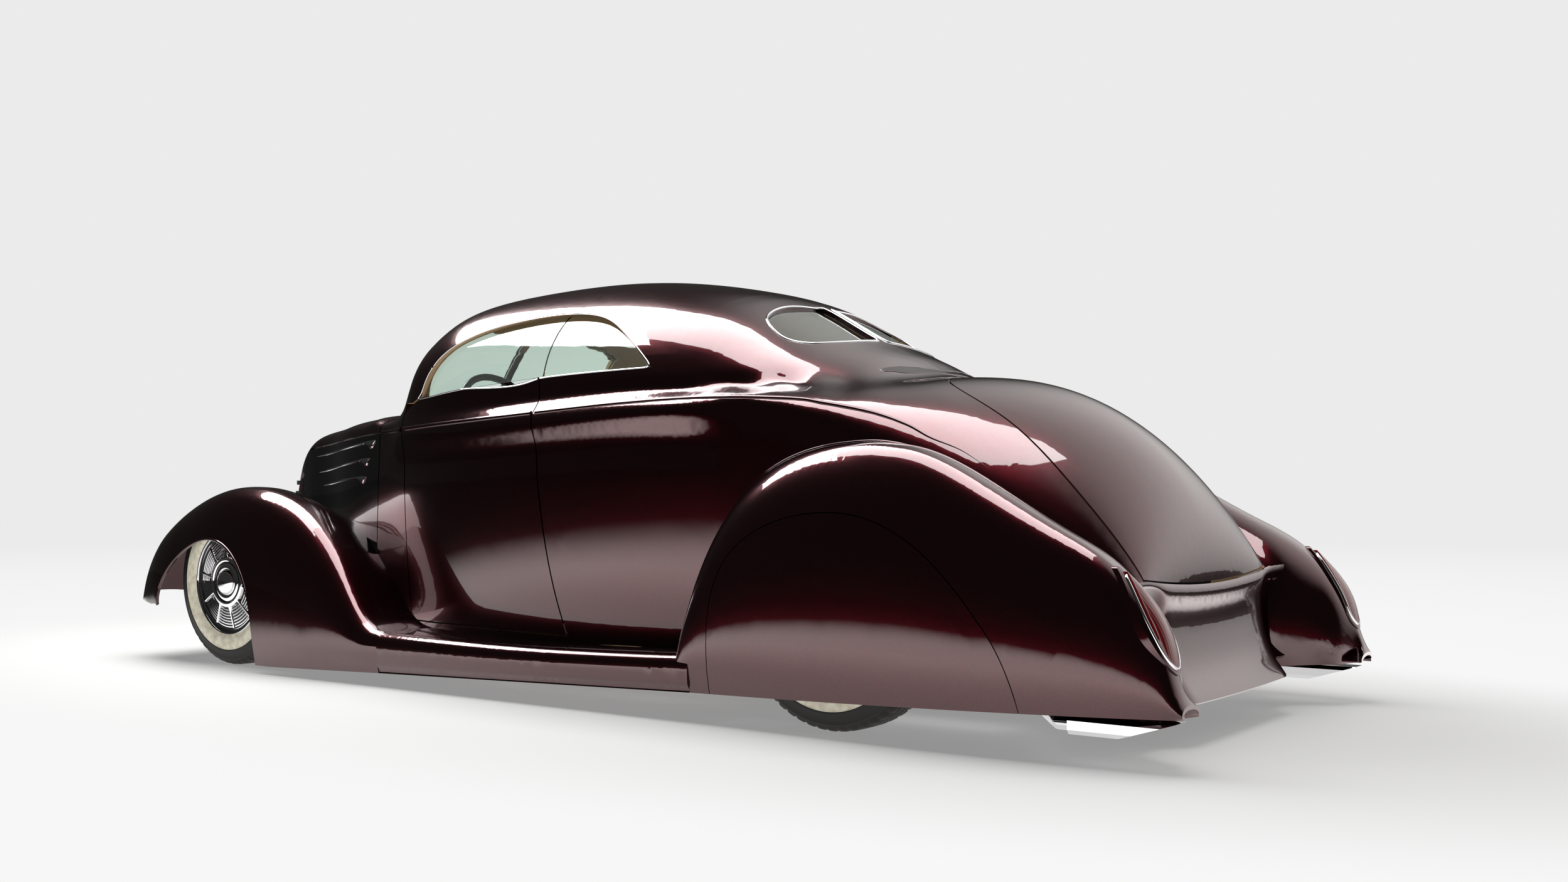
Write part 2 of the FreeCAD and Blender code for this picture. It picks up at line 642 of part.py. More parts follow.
bar_half = 0.02 * mm.body_half_width
shield_opening = front_tool(0, bar_half)
shield_opening = shield_opening.fuse(mirrored(shield_opening))
shield_pane = glass_layer.common(front_tool(mm.seat_gap, bar_half + mm.seat_gap))
add("windshield", Part.makeCompound([shield_pane, mirrored(shield_pane)]))


def rear_window_tool(inset):
    points = [V(x_at(share * mm.wheelbase), y * mm.body_half_width, quarter_split)
              for share, y in rear_window_shares]
    straight = Part.LineSegment(points[0], points[1]).toShape()
    wire = Part.Wire([straight, edge_through(points[1:] + [points[0]])])
    face = Part.Face(wire)
    if inset:
        face = grown(face, -inset)
    return face.extrude(V(0, 0, mm.body_height - quarter_split))


rear_opening = rear_window_tool(0)
rear_opening = rear_opening.fuse(mirrored(rear_opening))
rear_pane = glass_layer.common(rear_window_tool(mm.seat_gap))
add("rear_windows", Part.makeCompound([rear_pane, mirrored(rear_pane)]))

# Deck lid: its lower edge is lowest in the middle
lid_low = deck_height(body_stations(body_start, body_end)[-1])
lid_smile = 0.016 * mm.body_height
lid_steps = 8


def lid_edge(y):
    return lid_low + lid_smile * (y / (0.6 * mm.body_half_width)) ** 2


def lid_tool(gap):
    left = [(station * mm.wheelbase, y * mm.body_half_width) for station, y in lid_side_shares]
    right = [(station, -y) for station, y in reversed(left)]
    line = [V(x_at(station), y, tail_z) for station, y in right + left[1:]]
    face = outline_face([line, [line[-1], line[0]]])
    if gap:
        face = grown(face, gap)
    tool = face.extrude(V(0, 0, mm.body_height - tail_z))
    edge = []
    for i in range(lid_steps + 1):
        y = far_y * (2 * i / lid_steps - 1)
        edge.append(V(x_at(body_end + mm.overrun), y, lid_edge(y) - gap))
    below = [V(edge[-1].x, far_y, 0), V(edge[0].x, -far_y, 0)]
    under = outline_face([edge, [edge[-1], below[0]], below, [below[1], edge[0]]])
    return tool.cut(under.extrude(V(mm.rear_overhang, 0, 0)))


deck_lid = body_skin.common(lid_tool(0))
add("deck_lid", deck_lid)

# Hood: an opening top and two fixed sides
hood_line = [(hood_front, 0.590 * mm.body_height), (0.4 * hood_rear, 0.610 * mm.body_height),
             (hood_rear, 0.628 * mm.body_height)]
hood_roof = crown_height(hood_rear) + mm.overrun
hood_top_face = side_face(hood_line, [hood_line[-1], (hood_rear, hood_roof)],
                          [(hood_rear, hood_roof), (hood_front, hood_roof)],
                          [(hood_front, hood_roof), hood_line[0]])
hood_side_base = [(1.3 * hood_front, 0.455 * mm.body_height), (0.93 * hood_rear, 0.335 * mm.body_height)]
hood_side_face = side_face(hood_line, [hood_line[-1], hood_side_base[1]],
                           [hood_side_base[1], hood_side_base[0]], [hood_side_base[0], hood_line[0]])
hood_top = body_skin.common(side_tool(grown(hood_top_face, -mm.shut_gap / 2), -far_y, far_y))
add("hood_top", hood_top)
hood_side = body_skin.common(side_tool(grown(hood_side_face, -mm.shut_gap / 2), 0, far_y))
both_sides("hood_side", hood_side)
nose_back = [(hood_front, hood_roof), hood_line[0], hood_side_base[0], (1.36 * hood_front, 0)]
nose_tool_face = side_face([(body_start - mm.overrun, 0), (body_start - mm.overrun, hood_roof)],
                           [(body_start - mm.overrun, hood_roof), nose_back[0]],
                           [nose_back[0], nose_back[1]], [nose_back[1], nose_back[2]],
                           [nose_back[2], nose_back[3]], [nose_back[3], (body_start - mm.overrun, 0)])
nose = body_skin.common(side_tool(nose_tool_face, -far_y, far_y))
add("nose", nose)

# Fixed body panels
wheel_house = Part.makeCylinder(mm.tub_radius, far_y - tub_side, V(rear_axle_x, tub_side, wheel_z),
                                V(0, 1, 0))
openings = [window_tool, mirrored(window_tool), door_opening, mirrored(door_opening), shield_opening,
            rear_opening, lid_tool(mm.shut_gap), wheel_house, mirrored(wheel_house)]
shell = body_skin
for tool in openings:
    shell = shell.cut(tool)
above_roof = mm.body_height + mm.overrun
roof_tool = side_tool(side_face([(cabin_start, roof_split), (pane_split, roof_split)],
                                [(pane_split, roof_split), (pane_split, quarter_split)],
                                [(pane_split, quarter_split), (roof_rear, quarter_split)],
                                [(roof_rear, quarter_split), (roof_rear, above_roof)],
                                [(roof_rear, above_roof), (cabin_start, above_roof)],
                                [(cabin_start, above_roof), (cabin_start, roof_split)]),
                      -far_y, far_y)
cowl_front = hood_rear + mm.shut_gap / 2
cowl_foot = hood_side_base[1][0] + mm.shut_gap / 2
cowl_rear = mm.door_front + mm.seam_gap
cowl_outline = [(cowl_front, roof_split), (cowl_rear, roof_split), (cowl_rear, 0), (cowl_foot, 0),
                (cowl_foot, hood_side_base[1][1]), (cowl_front, hood_line[-1][1])]
cowl_points = side_vectors(cowl_outline)
cowl_tool = side_tool(Part.Face(Part.makePolygon(cowl_points + [cowl_points[0]])), -far_y, far_y)


def largest(shape):
    return max(shape.Solids, key=lambda solid: solid.Volume)


add("roof", largest(shell.common(roof_tool)))
add("cowl", largest(shell.common(cowl_tool)))
rear_half = Part.makeBox(overall_length, far_y, above_roof,
                         V(x_at(cowl_rear) - overall_length, 0, 0))
rear_body = shell.cut(roof_tool).common(rear_half)
rear_body = largest(rear_body)
both_sides("quarter", rear_body)

# Fenders, skirts and running boards
rear_block = arch_block(rear_section, rear_start, rear_top.at[0], rear_end, 14, 16)


def wheel_outline(shares, axle_station):
    return [(axle_station + along * mm.tyre_radius, up * mm.tyre_radius) for along, up in shares]


def wheel_tool(shares, axle_station, gap):
    line = wheel_outline(shares, axle_station)
    face = side_face(line, [line[-1], line[0]])
    if gap:
        face = grown(face, gap)
    return side_tool(face, rear_crown(rear_start), far_y)


front_fender = arch_sheet(front_section, front_start, front_top.at[0], board_start, 14, 16)
front_fender = front_fender.cut(body_outer)
arch_line = wheel_outline(arch_shares, 0)
front_arch = side_tool(side_face(arch_line, [arch_line[-1], arch_line[0]]), front_crown(0), far_y)
front_fender = front_fender.cut(front_arch)
both_sides("front_fender", front_fender)
body_beside = body_outer.copy()
body_beside.translate(V(0, mm.seat_gap, 0))
rear_fender = arch_sheet(rear_section, rear_start, rear_top.at[0], rear_end, 14, 16).cut(body_beside)
skirt = rear_fender.common(wheel_tool(skirt_shares, mm.wheelbase, -mm.seam_gap / 2))
rear_fender = rear_fender.cut(wheel_tool(skirt_shares, mm.wheelbase, mm.seam_gap / 2))
both_sides("rear_fender", rear_fender)
add("rear_skirts", Part.makeCompound([skirt, mirrored(skirt)]))
board_stops = [board_start + (rear_start + mm.overrun - board_start) * i / 8 for i in range(9)]
board = sheet_solid(arch_grid(board_section, board_stops, 0),
                    arch_grid(board_section, board_stops, mm.fender_wall))
board = board.cut(body_outer).cut(rear_block)
add("running_boards", Part.makeCompound([board, mirrored(board)]))

# Rear pan between the fenders, below the deck lid: a proud middle with a hollow at each side
pan_half = 0.80 * fender_half_width
pan_profile_shares = [(1.3035, 1.0), (1.3060, 0.955), (1.3052, 0.87), (1.3052, 0.76), (1.3090, 0.60),
                      (1.3170, 0.44), (1.3290, 0.32), (1.3340, 0.27)]
pan_middle = 0.42 * fender_half_width
pan_slope = 0.11 * fender_half_width
pan_hollow = 0.023 * mm.wheelbase
pan_lift = 0.03 * mm.body_height
pan_columns = 36


def eased(share):
    share = min(max(share, 0.0), 1.0)
    return share * share * (3 - 2 * share)


def pan_grid(depth):
    rows = []
    last = len(pan_profile_shares) - 1
    for i in range(pan_columns + 1):
        y = -pan_half + 2 * pan_half * i / pan_columns
        side = eased((abs(y) - pan_middle) / pan_slope)
        top = lid_edge(min(abs(y), 0.66 * mm.body_half_width)) - mm.shut_gap
        line = []
        for k, (station, height) in enumerate(pan_profile_shares):
            low = eased(1.4 * k / last)
            line.append((station * mm.wheelbase - pan_hollow * side * low,
                         height * top + pan_lift * side * (k / last) ** 2))
        line = offset_line(line, [depth] * len(line))
        rows.append([V(x_at(station), y, height) for station, height in line])
    return rows


rear_pan = sheet_solid(pan_grid(0), pan_grid(-mm.fender_wall))
tail_sill = rail_top + sill_rise(body_end)
tail_room = station_box(body_end - 4 * mm.fender_wall, body_end + mm.seat_gap, far_y, tail_sill - mm.seam_gap,
                        mm.body_height)
rear_pan = rear_pan.cut(rear_block).cut(mirrored(rear_block)).cut(tail_room)
add("rear_pan", largest(rear_pan))

# Lamps that follow the fenders
lens_height = 8 * mm.seam_gap
rim_height = 4 * mm.seam_gap


def arch_layer(section, start, full, end, height):
    """Layer on the outside of a fender, clear of it by the seat gap."""
    stations = eased_stations(start + arch_tip, full, end, 14, 16)
    return sheet_solid(arch_grid(section, stations, -height), arch_grid(section, stations, -mm.seat_gap))


def lens_tool(shares, crown, from_station, to_station, gap):
    points = [V(0, crown + y * fender_half_width, z * mm.body_height) for y, z in shares]
    middle = len(points) // 2
    face = outline_face([points[:middle + 1], points[middle:] + [points[0]]])
    if gap:
        face = grown(face, gap)
    start = x_at(from_station)
    return face.translated(V(start, 0, 0)).extrude(V(x_at(to_station) - start, 0, 0))


tail_lamp_shares = [(0.0, 0.343), (0.033, 0.295), (0.048, 0.240), (0.035, 0.192), (0.0, 0.176),
                    (-0.034, 0.192), (-0.045, 0.240), (-0.029, 0.295)]
head_lamp_shares = [(0.0, 0.400), (0.058, 0.382), (0.085, 0.335), (0.062, 0.285), (0.0, 0.262),
                    (-0.062, 0.285), (-0.085, 0.335), (-0.058, 0.382)]
lamp_rim = 4 * mm.seam_gap
tail_layers = [arch_layer(rear_section, rear_start, rear_top.at[0], rear_end, height)
               for height in (lens_height, rim_height)]
head_layers = [arch_layer(front_section, front_start, front_top.at[0], board_start, height)
               for height in (lens_height, rim_height)]


def lamp_pair(label, layers, shares, crown, from_station, to_station):
    lens_shape = layers[0].common(lens_tool(shares, crown, from_station, to_station, 0))
    rim_shape = layers[1].common(lens_tool(shares, crown, from_station, to_station, lamp_rim))
    rim_shape = rim_shape.cut(lens_tool(shares, crown, from_station, to_station, mm.seat_gap))
    add(label, Part.makeCompound([lens_shape, mirrored(lens_shape)]))
    return [rim_shape, mirrored(rim_shape)]


rims = lamp_pair("tail_lamps", tail_layers, tail_lamp_shares, rear_crown(rear_end), 1.2 * mm.wheelbase,
                 rear_end + mm.overrun)
rims += lamp_pair("head_lamps", head_layers, head_lamp_shares, front_crown(front_start), 0,
                  front_start - mm.overrun)
add("lamp_rims", Part.makeCompound(rims))

# Running gear. Each of these pieces is drawn about its own centre and then put in place.
AXLE_X = "(sizes.wheelbase + sizes.rear_overhang - sizes.front_overhang) / 2"
SIDE_Y = "(sizes.body_half_width + sizes.fender_reach)"
TRACK = f"({SIDE_Y} - sizes.wheel_inset)"
REAR_X = "(sizes.rear_overhang - sizes.front_overhang - sizes.wheelbase) / 2"


def origin_part(body, role):
    return [part for part in body.Origin.OriginFeatures if part.Role == role][0]


def new_body(label, x="0", y="0", z="0", turn=0):
    """Body placed by three expressions and a turn about the upright axis."""
    body = document.addObject("PartDesign::Body", label)
    body.Label = label
    body.Placement.Rotation = FreeCAD.Rotation(V(0, 0, 1), turn)
    for axis, expression in zip("xyz", (x, y, z)):
        if expression != "0":
            body.setExpression("Placement.Base." + axis, expression)
    nodes.append(body)
    return body


def new_sketch(body, name, plane, offset="0"):
    sketch = body.newObject("Sketcher::SketchObject", name)
    sketch.AttachmentSupport = (origin_part(body, plane), [""])
    sketch.MapMode = "FlatFace"
    if offset != "0":
        sketch.setExpression("AttachmentOffset.Base.z", offset)
    return sketch


def tie(sketch, index, place):
    """Ties a geometry's start or centre to the sketch's axes by a pair of expressions."""
    point = 3 if isinstance(sketch.Geometry[index], Part.Circle) else 1
    for kind, axis, expression in (("DistanceX", -2, place[0]), ("DistanceY", -1, place[1])):
        if expression == "0":
            sketch.addConstraint(Sketcher.Constraint("PointOnObject", index, point, axis))
        else:
            value = float(sketch.evalExpression(expression))
            number = sketch.addConstraint(Sketcher.Constraint(kind, -1, 1, index, point, value))
            sketch.setExpression(f"Constraints[{number}]", expression)


def draw_outline(sketch, corners):
    """Closed straight-sided outline whose corners are pairs of expressions."""
    first = len(sketch.Geometry)
    places = [V(float(sketch.evalExpression(across)), float(sketch.evalExpression(up)), 0)
              for across, up in corners]
    count = len(corners)
    for i in range(count):
        sketch.addGeometry(Part.LineSegment(places[i], places[(i + 1) % count]))
    for i in range(count):
        sketch.addConstraint(Sketcher.Constraint("Coincident", first + i, 2, first + (i + 1) % count, 1))
    for i, corner in enumerate(corners):
        tie(sketch, first + i, corner)


def draw_circle(sketch, centre, radius):
    value = float(sketch.evalExpression(radius))
    place = V(float(sketch.evalExpression(centre[0])), float(sketch.evalExpression(centre[1])), 0)
    index = sketch.addGeometry(Part.Circle(place, V(0, 0, 1), value))
    tie(sketch, index, centre)
    number = sketch.addConstraint(Sketcher.Constraint("Radius", index, value))
    sketch.setExpression(f"Constraints[{number}]", radius)


def padded(body, name, sketch, length, kind="PartDesign::Pad", middle=False, reverse=False):
    """Pad or pocket of a sketch, to one side or to both sides of its plane."""
    feature = body.newObject(kind, name)
    feature.Profile = sketch
    feature.setExpression("Length", length)
    feature.Midplane = middle
    feature.Reversed = reverse
    body.Tip = feature
    return feature


def turned(body, name, corners):
    """Turned solid about the body's Y axis; corners are (radius, distance along the axis)."""
    sketch = new_sketch(body, name + "_profile", "XY_Plane")
    draw_outline(sketch, corners)
    feature = body.newObject("PartDesign::Revolution", name)
    feature.Profile = sketch
    feature.ReferenceAxis = (sketch, ["V_Axis"])
    feature.Angle = 360
    body.Tip = feature


def flipped(corners):
    return [(across, f"-({along})") for across, along in reversed(corners)]


TREAD = "sizes.tread_width / 2"
SIDE = "sizes.tyre_width / 2"
BEAD = "sizes.rim_width / 2"
tyre_outside = [("sizes.rim_radius", f"{BEAD} - sizes.tyre_wall"), ("sizes.rim_radius", BEAD),
                ("sizes.rim_radius + sizes.rim_flange", BEAD),
                ("sizes.rim_radius + 2.2 * sizes.rim_flange", f"0.96 * {SIDE}"),
                ("0.78 * sizes.tyre_radius", SIDE), ("0.87 * sizes.tyre_radius", f"0.97 * {SIDE}"),
                ("0.95 * sizes.tyre_radius", f"1.08 * {TREAD}"),
                ("0.99 * sizes.tyre_radius", TREAD), ("sizes.tyre_radius", f"0.8 * {TREAD}")]
tyre_inside = [("sizes.tyre_radius - sizes.tyre_wall", f"{TREAD} - sizes.tyre_wall"),
               ("0.87 * sizes.tyre_radius", f"{SIDE} - sizes.tyre_wall"),
               ("0.72 * sizes.tyre_radius", f"{SIDE} - sizes.tyre_wall")]
tyre_corners = tyre_outside + flipped(tyre_outside) + flipped(tyre_inside) + tyre_inside

FACE = "0.31 * sizes.rim_width"
BORE = "sizes.spindle_radius + sizes.running_clearance"
LIP = "sizes.rim_radius + sizes.rim_flange"
WALL = "sizes.rim_wall"
wheel_corners = [(BORE, "-0.05 * sizes.rim_width"), ("sizes.hub_radius", "-0.05 * sizes.rim_width"),
                 ("sizes.hub_radius", f"{FACE} - 4 * {WALL}"),
                 ("0.80 * sizes.rim_radius", f"{FACE} - 4 * {WALL}"),
                 ("0.90 * sizes.rim_radius", f"0.25 * {BEAD}"),
                 (f"sizes.rim_radius - {WALL}", f"0.2 * {BEAD}"),
                 (f"sizes.rim_radius - {WALL}", f"-{BEAD} - {WALL}"), (LIP, f"-{BEAD} - {WALL}"),
                 (LIP, f"-{BEAD}"), ("sizes.rim_radius", f"-{BEAD}"), ("sizes.rim_radius", BEAD),
                 (LIP, BEAD), (LIP, f"{BEAD} + {WALL}"), (f"sizes.rim_radius - {WALL}", f"{BEAD} + {WALL}"),
                 (f"sizes.rim_radius - 2 * {WALL}", f"{FACE} + {WALL}"), ("0.86 * sizes.rim_radius", FACE),
                 ("0.62 * sizes.rim_radius", f"{FACE} + 0.5 * {WALL}"),
                 ("1.12 * sizes.cap_radius", f"{FACE} - {WALL}"), ("sizes.cap_radius", f"{FACE} + {WALL}"),
                 ("0.94 * sizes.cap_radius", f"{FACE} + 0.5 * sizes.cap_height"),
                 ("0.7 * sizes.cap_radius", f"{FACE} + 0.85 * sizes.cap_height"),
                 ("0.35 * sizes.cap_radius", f"{FACE} + sizes.cap_height"),
                 ("0", f"{FACE} + 1.03 * sizes.cap_height"), ("0", f"{FACE} - {WALL}"),
                 (BORE, f"{FACE} - {WALL}")]
fin_corners = [("-sizes.fin_width / 2", "1.25 * sizes.cap_radius"),
               ("sizes.fin_width / 2", "1.25 * sizes.cap_radius"),
               ("0.8 * sizes.fin_width", "0.70 * sizes.rim_radius"),
               ("-0.8 * sizes.fin_width", "0.70 * sizes.rim_radius")]
fin_count = 10

corners = {"front_left": (AXLE_X, TRACK, 0), "front_right": (AXLE_X, "-" + TRACK, 180),
           "rear_left": (REAR_X, TRACK, 0), "rear_right": (REAR_X, "-" + TRACK, 180)}
for corner, (axle_x, y, turn) in corners.items():
    tyre = new_body("tyre_" + corner, axle_x, y, "sizes.tyre_radius", turn)
    turned(tyre, "carcass_" + corner, tyre_corners)
    wheel = new_body("wheel_" + corner, axle_x, y, "sizes.tyre_radius", turn)
    turned(wheel, "disc_" + corner, wheel_corners)
    fin_sketch = new_sketch(wheel, "fin_outline_" + corner, "XZ_Plane", f"-({FACE} - {WALL})")
    draw_outline(fin_sketch, fin_corners)
    fin = padded(wheel, "fin_" + corner, fin_sketch, "sizes.rim_wall + sizes.fin_height", reverse=True)
    ring = wheel.newObject("PartDesign::PolarPattern", "fins_" + corner)
    ring.Originals = [fin]
    ring.Axis = (origin_part(wheel, "Y_Axis"), [""])
    ring.Angle = 360
    ring.Occurrences = fin_count
    wheel.Tip = ring

# Front axle: a forged beam that drops between its eyes
KINGPIN = f"({TRACK} - sizes.kingpin_inset)"
HALF_BEAM = "sizes.beam_height / 2"
front_axle = new_body("front_axle", AXLE_X, "0", "sizes.tyre_radius")
beam_sketch = new_sketch(front_axle, "beam_outline", "YZ_Plane")
beam_above = [(KINGPIN, HALF_BEAM), (f"{KINGPIN} - 1.9 * sizes.eye_radius", HALF_BEAM),
              (f"0.72 * {KINGPIN}", f"{HALF_BEAM} - sizes.axle_drop")]
beam_below = [(f"0.69 * {KINGPIN}", f"-{HALF_BEAM} - sizes.axle_drop"),
              (f"{KINGPIN} - 2.5 * sizes.eye_radius", f"-{HALF_BEAM}"), (KINGPIN, f"-{HALF_BEAM}")]
draw_outline(beam_sketch, [(f"-({across})", up) for across, up in beam_above] + beam_above[::-1]
             + beam_below[::-1] + [(f"-({across})", up) for across, up in beam_below])
padded(front_axle, "beam", beam_sketch, "sizes.beam_width", middle=True)
eye_sketch = new_sketch(front_axle, "eye_outline", "XY_Plane")
draw_circle(eye_sketch, ("0", KINGPIN), "sizes.eye_radius")
draw_circle(eye_sketch, ("0", f"-{KINGPIN}"), "sizes.eye_radius")
padded(front_axle, "eyes", eye_sketch, "sizes.eye_height", middle=True)
hole_sketch = new_sketch(front_axle, "hole_outline", "XY_Plane")
draw_circle(hole_sketch, ("0", KINGPIN), "sizes.kingpin_radius + sizes.running_clearance")
draw_circle(hole_sketch, ("0", f"-{KINGPIN}"), "sizes.kingpin_radius + sizes.running_clearance")
padded(front_axle, "kingpin_holes", hole_sketch, "2 * sizes.eye_height", kind="PartDesign::Pocket",
       middle=True)

# Knuckles: a fork round the eye with the kingpin, the spindle and the brake drum
EAR = "sizes.eye_radius"
EAR_LOW = "(sizes.eye_height / 2 + 2 * sizes.running_clearance)"
EAR_HIGH = "(sizes.eye_height / 2 + 2 * sizes.running_clearance + sizes.eye_radius / 2)"
HUB_END = "sizes.kingpin_inset - 0.05 * sizes.rim_width"
SPINDLE_END = "sizes.kingpin_inset + 0.18 * sizes.rim_width"
for side, y, turn in (("left", KINGPIN, 0), ("right", f"-{KINGPIN}", 180)):
    knuckle = new_body("knuckle_" + side, AXLE_X, y, "sizes.tyre_radius", turn)
    fork_sketch = new_sketch(knuckle, "fork_outline_" + side, "YZ_Plane")
    draw_outline(fork_sketch, [(f"-{EAR}", EAR_LOW), (f"-{EAR}", EAR_HIGH), (f"2 * {EAR}", EAR_HIGH),
                               (f"2 * {EAR}", f"-{EAR_HIGH}"), (f"-{EAR}", f"-{EAR_HIGH}"),
                               (f"-{EAR}", f"-{EAR_LOW}"), (f"1.5 * {EAR}", f"-{EAR_LOW}"),
                               (f"1.5 * {EAR}", EAR_LOW)])
    padded(knuckle, "fork_" + side, fork_sketch, "2 * sizes.eye_radius", middle=True)
    pin_sketch = new_sketch(knuckle, "pin_outline_" + side, "XY_Plane")
    draw_circle(pin_sketch, ("0", "0"), "sizes.kingpin_radius")
    padded(knuckle, "pin_" + side, pin_sketch, f"2 * {EAR_HIGH}", middle=True)
    spindle_sketch = new_sketch(knuckle, "spindle_profile_" + side, "XY_Plane")
    draw_outline(spindle_sketch, [("0", f"1.6 * {EAR}"), ("sizes.drum_radius", f"1.6 * {EAR}"),
                                  ("sizes.drum_radius", f"{HUB_END} - 2 * sizes.rim_wall"),
                                  ("sizes.hub_radius", f"{HUB_END} - 2 * sizes.rim_wall"),
                                  ("sizes.hub_radius", f"{HUB_END} - sizes.running_clearance"),
                                  ("sizes.spindle_radius", f"{HUB_END} - sizes.running_clearance"),
                                  ("sizes.spindle_radius", SPINDLE_END), ("0", SPINDLE_END)])
    spindle = knuckle.newObject("PartDesign::Revolution", "spindle_" + side)
    spindle.Profile = spindle_sketch
    spindle.ReferenceAxis = (spindle_sketch, ["V_Axis"])
    spindle.Angle = 360
    knuckle.Tip = spindle

# Rear axle: tube, differential, brake drums and stub shafts in one turned piece
AXLE_HUB = f"({TRACK} - 0.05 * sizes.rim_width)"
DIFF = "sizes.diff_radius"
rear_axle = new_body("rear_axle", REAR_X, "0", "sizes.tyre_radius")
axle_half = [(f"{DIFF}", f"0.45 * {DIFF}"), (f"0.7 * {DIFF}", DIFF),
             ("sizes.rear_tube_radius", f"1.4 * {DIFF}"),
             ("sizes.rear_tube_radius", f"{AXLE_HUB} - 2 * sizes.rim_wall - sizes.drum_width"),
             ("sizes.drum_radius", f"{AXLE_HUB} - 2 * sizes.rim_wall - sizes.drum_width"),
             ("sizes.drum_radius", f"{AXLE_HUB} - 2 * sizes.rim_wall"),
             ("sizes.hub_radius", f"{AXLE_HUB} - 2 * sizes.rim_wall"),
             ("sizes.hub_radius", f"{AXLE_HUB} - sizes.running_clearance"),
             ("sizes.spindle_radius", f"{AXLE_HUB} - sizes.running_clearance"),
             ("sizes.spindle_radius", f"{TRACK} + 0.18 * sizes.rim_width"),
             ("0", f"{TRACK} + 0.18 * sizes.rim_width")]
turned(rear_axle, "axle", axle_half + flipped(axle_half))

# Frame: two rails that pass over both axles, with crossmembers
KICK = "(sizes.tyre_radius - sizes.axle_drop + 2 * sizes.beam_height)"
frame_line = [("-0.10", KICK), ("0.13", KICK), ("0.23", "sizes.rail_low"), ("0.80", "sizes.rail_low"),
              ("0.90", "sizes.rail_kick"), ("1.10", "sizes.rail_kick"),
              ("1.245", "sizes.rail_kick - sizes.rail_height")]
cross_places = [("-0.064", KICK), ("0.34", "sizes.rail_low"), ("0.56", "sizes.rail_low"),
                ("0.77", "sizes.rail_low"), ("0.93", "sizes.rail_kick"), ("1.08", "sizes.rail_kick")]
frame = new_body("chassis_frame", AXLE_X)
rail_corners = [(f"-({share}) * sizes.wheelbase", low) for share, low in frame_line]
rail_corners += [(f"-({share}) * sizes.wheelbase", f"{low} + sizes.rail_height")
                 for share, low in reversed(frame_line)]
rail_sketch = new_sketch(frame, "right_rail_outline", "XZ_Plane", "sizes.rail_offset - sizes.rail_width / 2")
draw_outline(rail_sketch, rail_corners)
padded(frame, "right_rail", rail_sketch, "sizes.rail_width")
cross_sketch = new_sketch(frame, "cross_outline", "XZ_Plane")
for share, low in cross_places:
    back = f"-({share}) * sizes.wheelbase - sizes.rail_width"
    ahead = f"-({share}) * sizes.wheelbase"
    draw_outline(cross_sketch, [(back, f"{low} + 0.25 * sizes.rail_height"),
                                (ahead, f"{low} + 0.25 * sizes.rail_height"),
                                (ahead, f"{low} + 0.75 * sizes.rail_height"),
                                (back, f"{low} + 0.75 * sizes.rail_height")])
padded(frame, "crossmembers", cross_sketch, "2 * sizes.rail_offset", middle=True)
rail_sketch = new_sketch(frame, "left_rail_outline", "XZ_Plane", "-sizes.rail_offset - sizes.rail_width / 2")
draw_outline(rail_sketch, rail_corners)
padded(frame, "left_rail", rail_sketch, "sizes.rail_width")

# Engine, radiator and tank as plain blocks
FLOOR_Z = "(sizes.rail_low + sizes.rail_height + sizes.seat_gap)"
TRUNK_Z = "(sizes.rail_kick + sizes.rail_height + sizes.seat_gap)"
CROSS_TOP = f"{KICK} + 0.75 * sizes.rail_height + sizes.seat_gap"
blocks = {"engine": (("-0.205", "-0.02"), ("0.33 * sizes.body_half_width", KICK, "0.50 * sizes.body_height")),
          "radiator": (("0.046", "0.062"),
                       ("0.24 * sizes.body_half_width", CROSS_TOP, "0.54 * sizes.body_height")),
          "fuel_tank": (("-1.215", "-1.135"), ("0.8 * sizes.rail_offset",
                                               f"{TRUNK_Z} - 0.13 * sizes.body_height",
                                               f"{TRUNK_Z} - sizes.seat_gap"))}
for label, ((back, ahead), (half, low, high)) in blocks.items():
    block = new_body(label, AXLE_X)
    block_sketch = new_sketch(block, label + "_outline", "XZ_Plane")
    draw_outline(block_sketch, [(f"{back} * sizes.wheelbase", low), (f"{ahead} * sizes.wheelbase", low),
                                (f"{ahead} * sizes.wheelbase", high), (f"{back} * sizes.wheelbase", high)])
    padded(block, label + "_block", block_sketch, f"2 * {half}", middle=True)

# Seat
SEAT_Z = f"{FLOOR_Z} + sizes.floor_wall + sizes.seat_gap"
seat_shares = [("-0.430", "0.25"), ("-0.440", "0.275"), ("-0.465", "0.285"), ("-0.59", "0.262"),
               ("-0.603", "0.285"), ("-0.67", "0.62"), ("-0.695", "0.645"), ("-0.73", "0.62")]
seat = new_body("seat", AXLE_X)
seat_sketch = new_sketch(seat, "seat_outline", "XZ_Plane")
draw_outline(seat_sketch, [("-0.435 * sizes.wheelbase", SEAT_Z)]
             + [(f"{along} * sizes.wheelbase", f"{up} * sizes.body_height") for along, up in seat_shares]
             + [("-0.66 * sizes.wheelbase", SEAT_Z)])
padded(seat, "bench", seat_sketch, "1.4 * sizes.body_half_width", middle=True)

